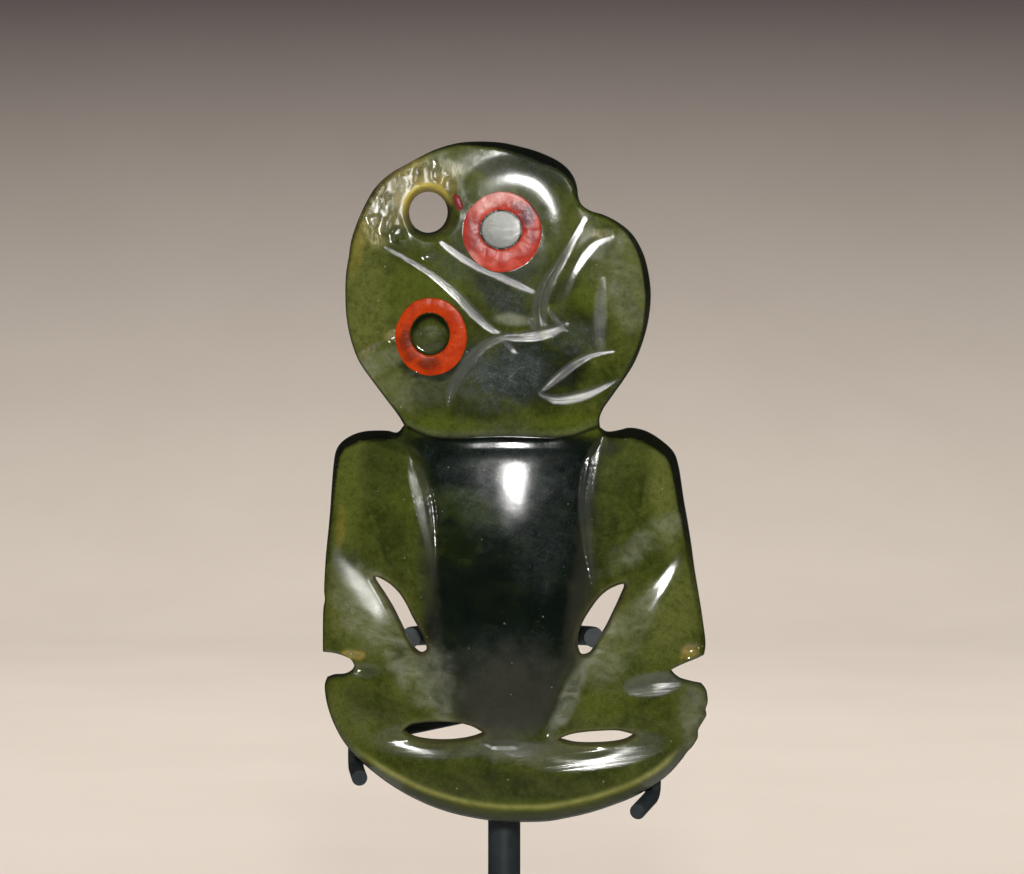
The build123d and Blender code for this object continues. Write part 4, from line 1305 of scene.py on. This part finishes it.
# The scrap of wax beside the bore
places, faces = wax_remnant()
scrap = mesh_object("wax_remnant", places, faces, {"blotch": np.full(len(places), 0.75)})
scrap.data.materials.append(SALMON_WAX)
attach(scrap, "root")

# The stand keeps its own shapes
for node in ("stand_armature", "stand_base"):
    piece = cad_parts[node]
    piece.data.materials.clear()
    piece.data.materials.append(dark_paint(node + "_paint", (0.030, 0.038, 0.042), (0.16, 0.18, 0.19)))

# Sweep: a pale floor that curves up into a wall behind the object, in metres
FLOOR_FRONT = -3.0
FLOOR_FLAT = 0.9
FLOOR_RISE = 0.8
FLOOR_SIDE = 4.0
WALL_TOP = 2.0
SWEEP_STEPS = 24
profile = [(FLOOR_FRONT, 0.0), (0.0, 0.0), (FLOOR_FLAT, 0.0)]
for step in range(1, SWEEP_STEPS + 1):
    angle = math.radians(90 / SWEEP_STEPS * step)
    profile.append((FLOOR_FLAT + FLOOR_RISE * math.sin(angle), FLOOR_RISE * (1 - math.cos(angle))))
profile.append((FLOOR_FLAT + FLOOR_RISE, WALL_TOP))
floor_places = [(side, y, z - 0.1 * MM) for y, z in profile for side in (-FLOOR_SIDE, FLOOR_SIDE)]
floor_faces = [(2 * k, 2 * k + 1, 2 * k + 3, 2 * k + 2) for k in range(len(profile) - 1)]
floor = mesh_object("floor", floor_places, floor_faces)
floor.data.materials.append(pale_floor())
floor.visible_glossy = False


def area_light(name, place, target, size, power, tint=(1, 1, 1), glossy=True):
    """A rectangular light that faces its target and shows in reflections where glossy."""
    data = bpy.data.lights.new(name, "AREA")
    data.shape = "RECTANGLE"
    data.size, data.size_y = size
    data.energy = power
    data.color = tint
    made = bpy.data.objects.new(name, data)
    bpy.context.scene.collection.objects.link(made)
    made.location = place
    made.rotation_euler = (Vector(target) - Vector(place)).to_track_quat("-Z", "Y").to_euler()
    made.visible_glossy = glossy
    return made


# Camera and lights: a key by the camera, two side fills, one from behind, and one for the floor alone
LENS = 100.0
SENSOR = 36.0
OUTLINE_DEPTH = 2.2
view_x = to_x(PHOTO_CENTRE_X)
view_z = to_z(PHOTO_CENTRE_Y)
outline_y = stone_high.y - OUTLINE_DEPTH * MM
distance = PHOTO_WIDTH * PIXEL * LENS / SENSOR
target = (view_x, outline_y, view_z)
key_place = (view_x + KEY_RIGHT, -distance, view_z + KEY_UP)
area_light("key", key_place, target, (0.04, 0.06), 1.15, (1.0, 0.985, 0.96))
for side, power in ((-0.75, 0.5), (0.75, 0.4)):
    area_light("fill", (side, -0.45, 0.4), target, (0.5, 0.6), power, glossy=False)
back_fill = area_light("back_fill", (0.4, 0.75, 0.45), target, (0.6, 0.6), 2.6, glossy=False)
floor_light = area_light("floor_light", (0, 0.35, 1.2), (0, 1.0, 0.1), (1.6, 0.8), 14, (1.0, 0.96, 0.92))
for light, state in ((floor_light, "INCLUDE"), (back_fill, "EXCLUDE")):
    lit = bpy.data.collections.new("lit_by_" + light.name)
    lit.objects.link(floor)
    lit.collection_objects[0].light_linking.link_state = state
    light.light_linking.receiver_collection = lit

# The room: even and soft, but dim in reflections, where only its floor shows
world = bpy.data.worlds.new("soft_room")
world.use_nodes = True
background = world.node_tree.nodes["Background"]
room = Nodes(world.node_tree)
upward = room.node("SeparateXYZ", Vector=room.node("TexCoord").outputs["Generated"]).outputs["Z"]
mirrored = room.between(upward, -0.25, -0.75, 0.02, 0.35)
seen_by = room.node("LightPath").outputs["Is Glossy Ray"]
room.put(background.inputs["Color"], (0.95, 0.93, 0.92))
room.put(background.inputs["Strength"], room.between(seen_by, 0, 1, 0.16, mirrored))
bpy.context.scene.world = world
bpy.context.scene.view_settings.view_transform = "Standard"

camera_data = bpy.data.cameras.new("camera")
camera_data.lens = LENS
camera_data.sensor_width = SENSOR
camera = bpy.data.objects.new("camera", camera_data)
bpy.context.scene.collection.objects.link(camera)
camera.location = (view_x, outline_y - distance, view_z)
camera.rotation_euler = (math.radians(90), 0, 0)
bpy.context.scene.camera = camera
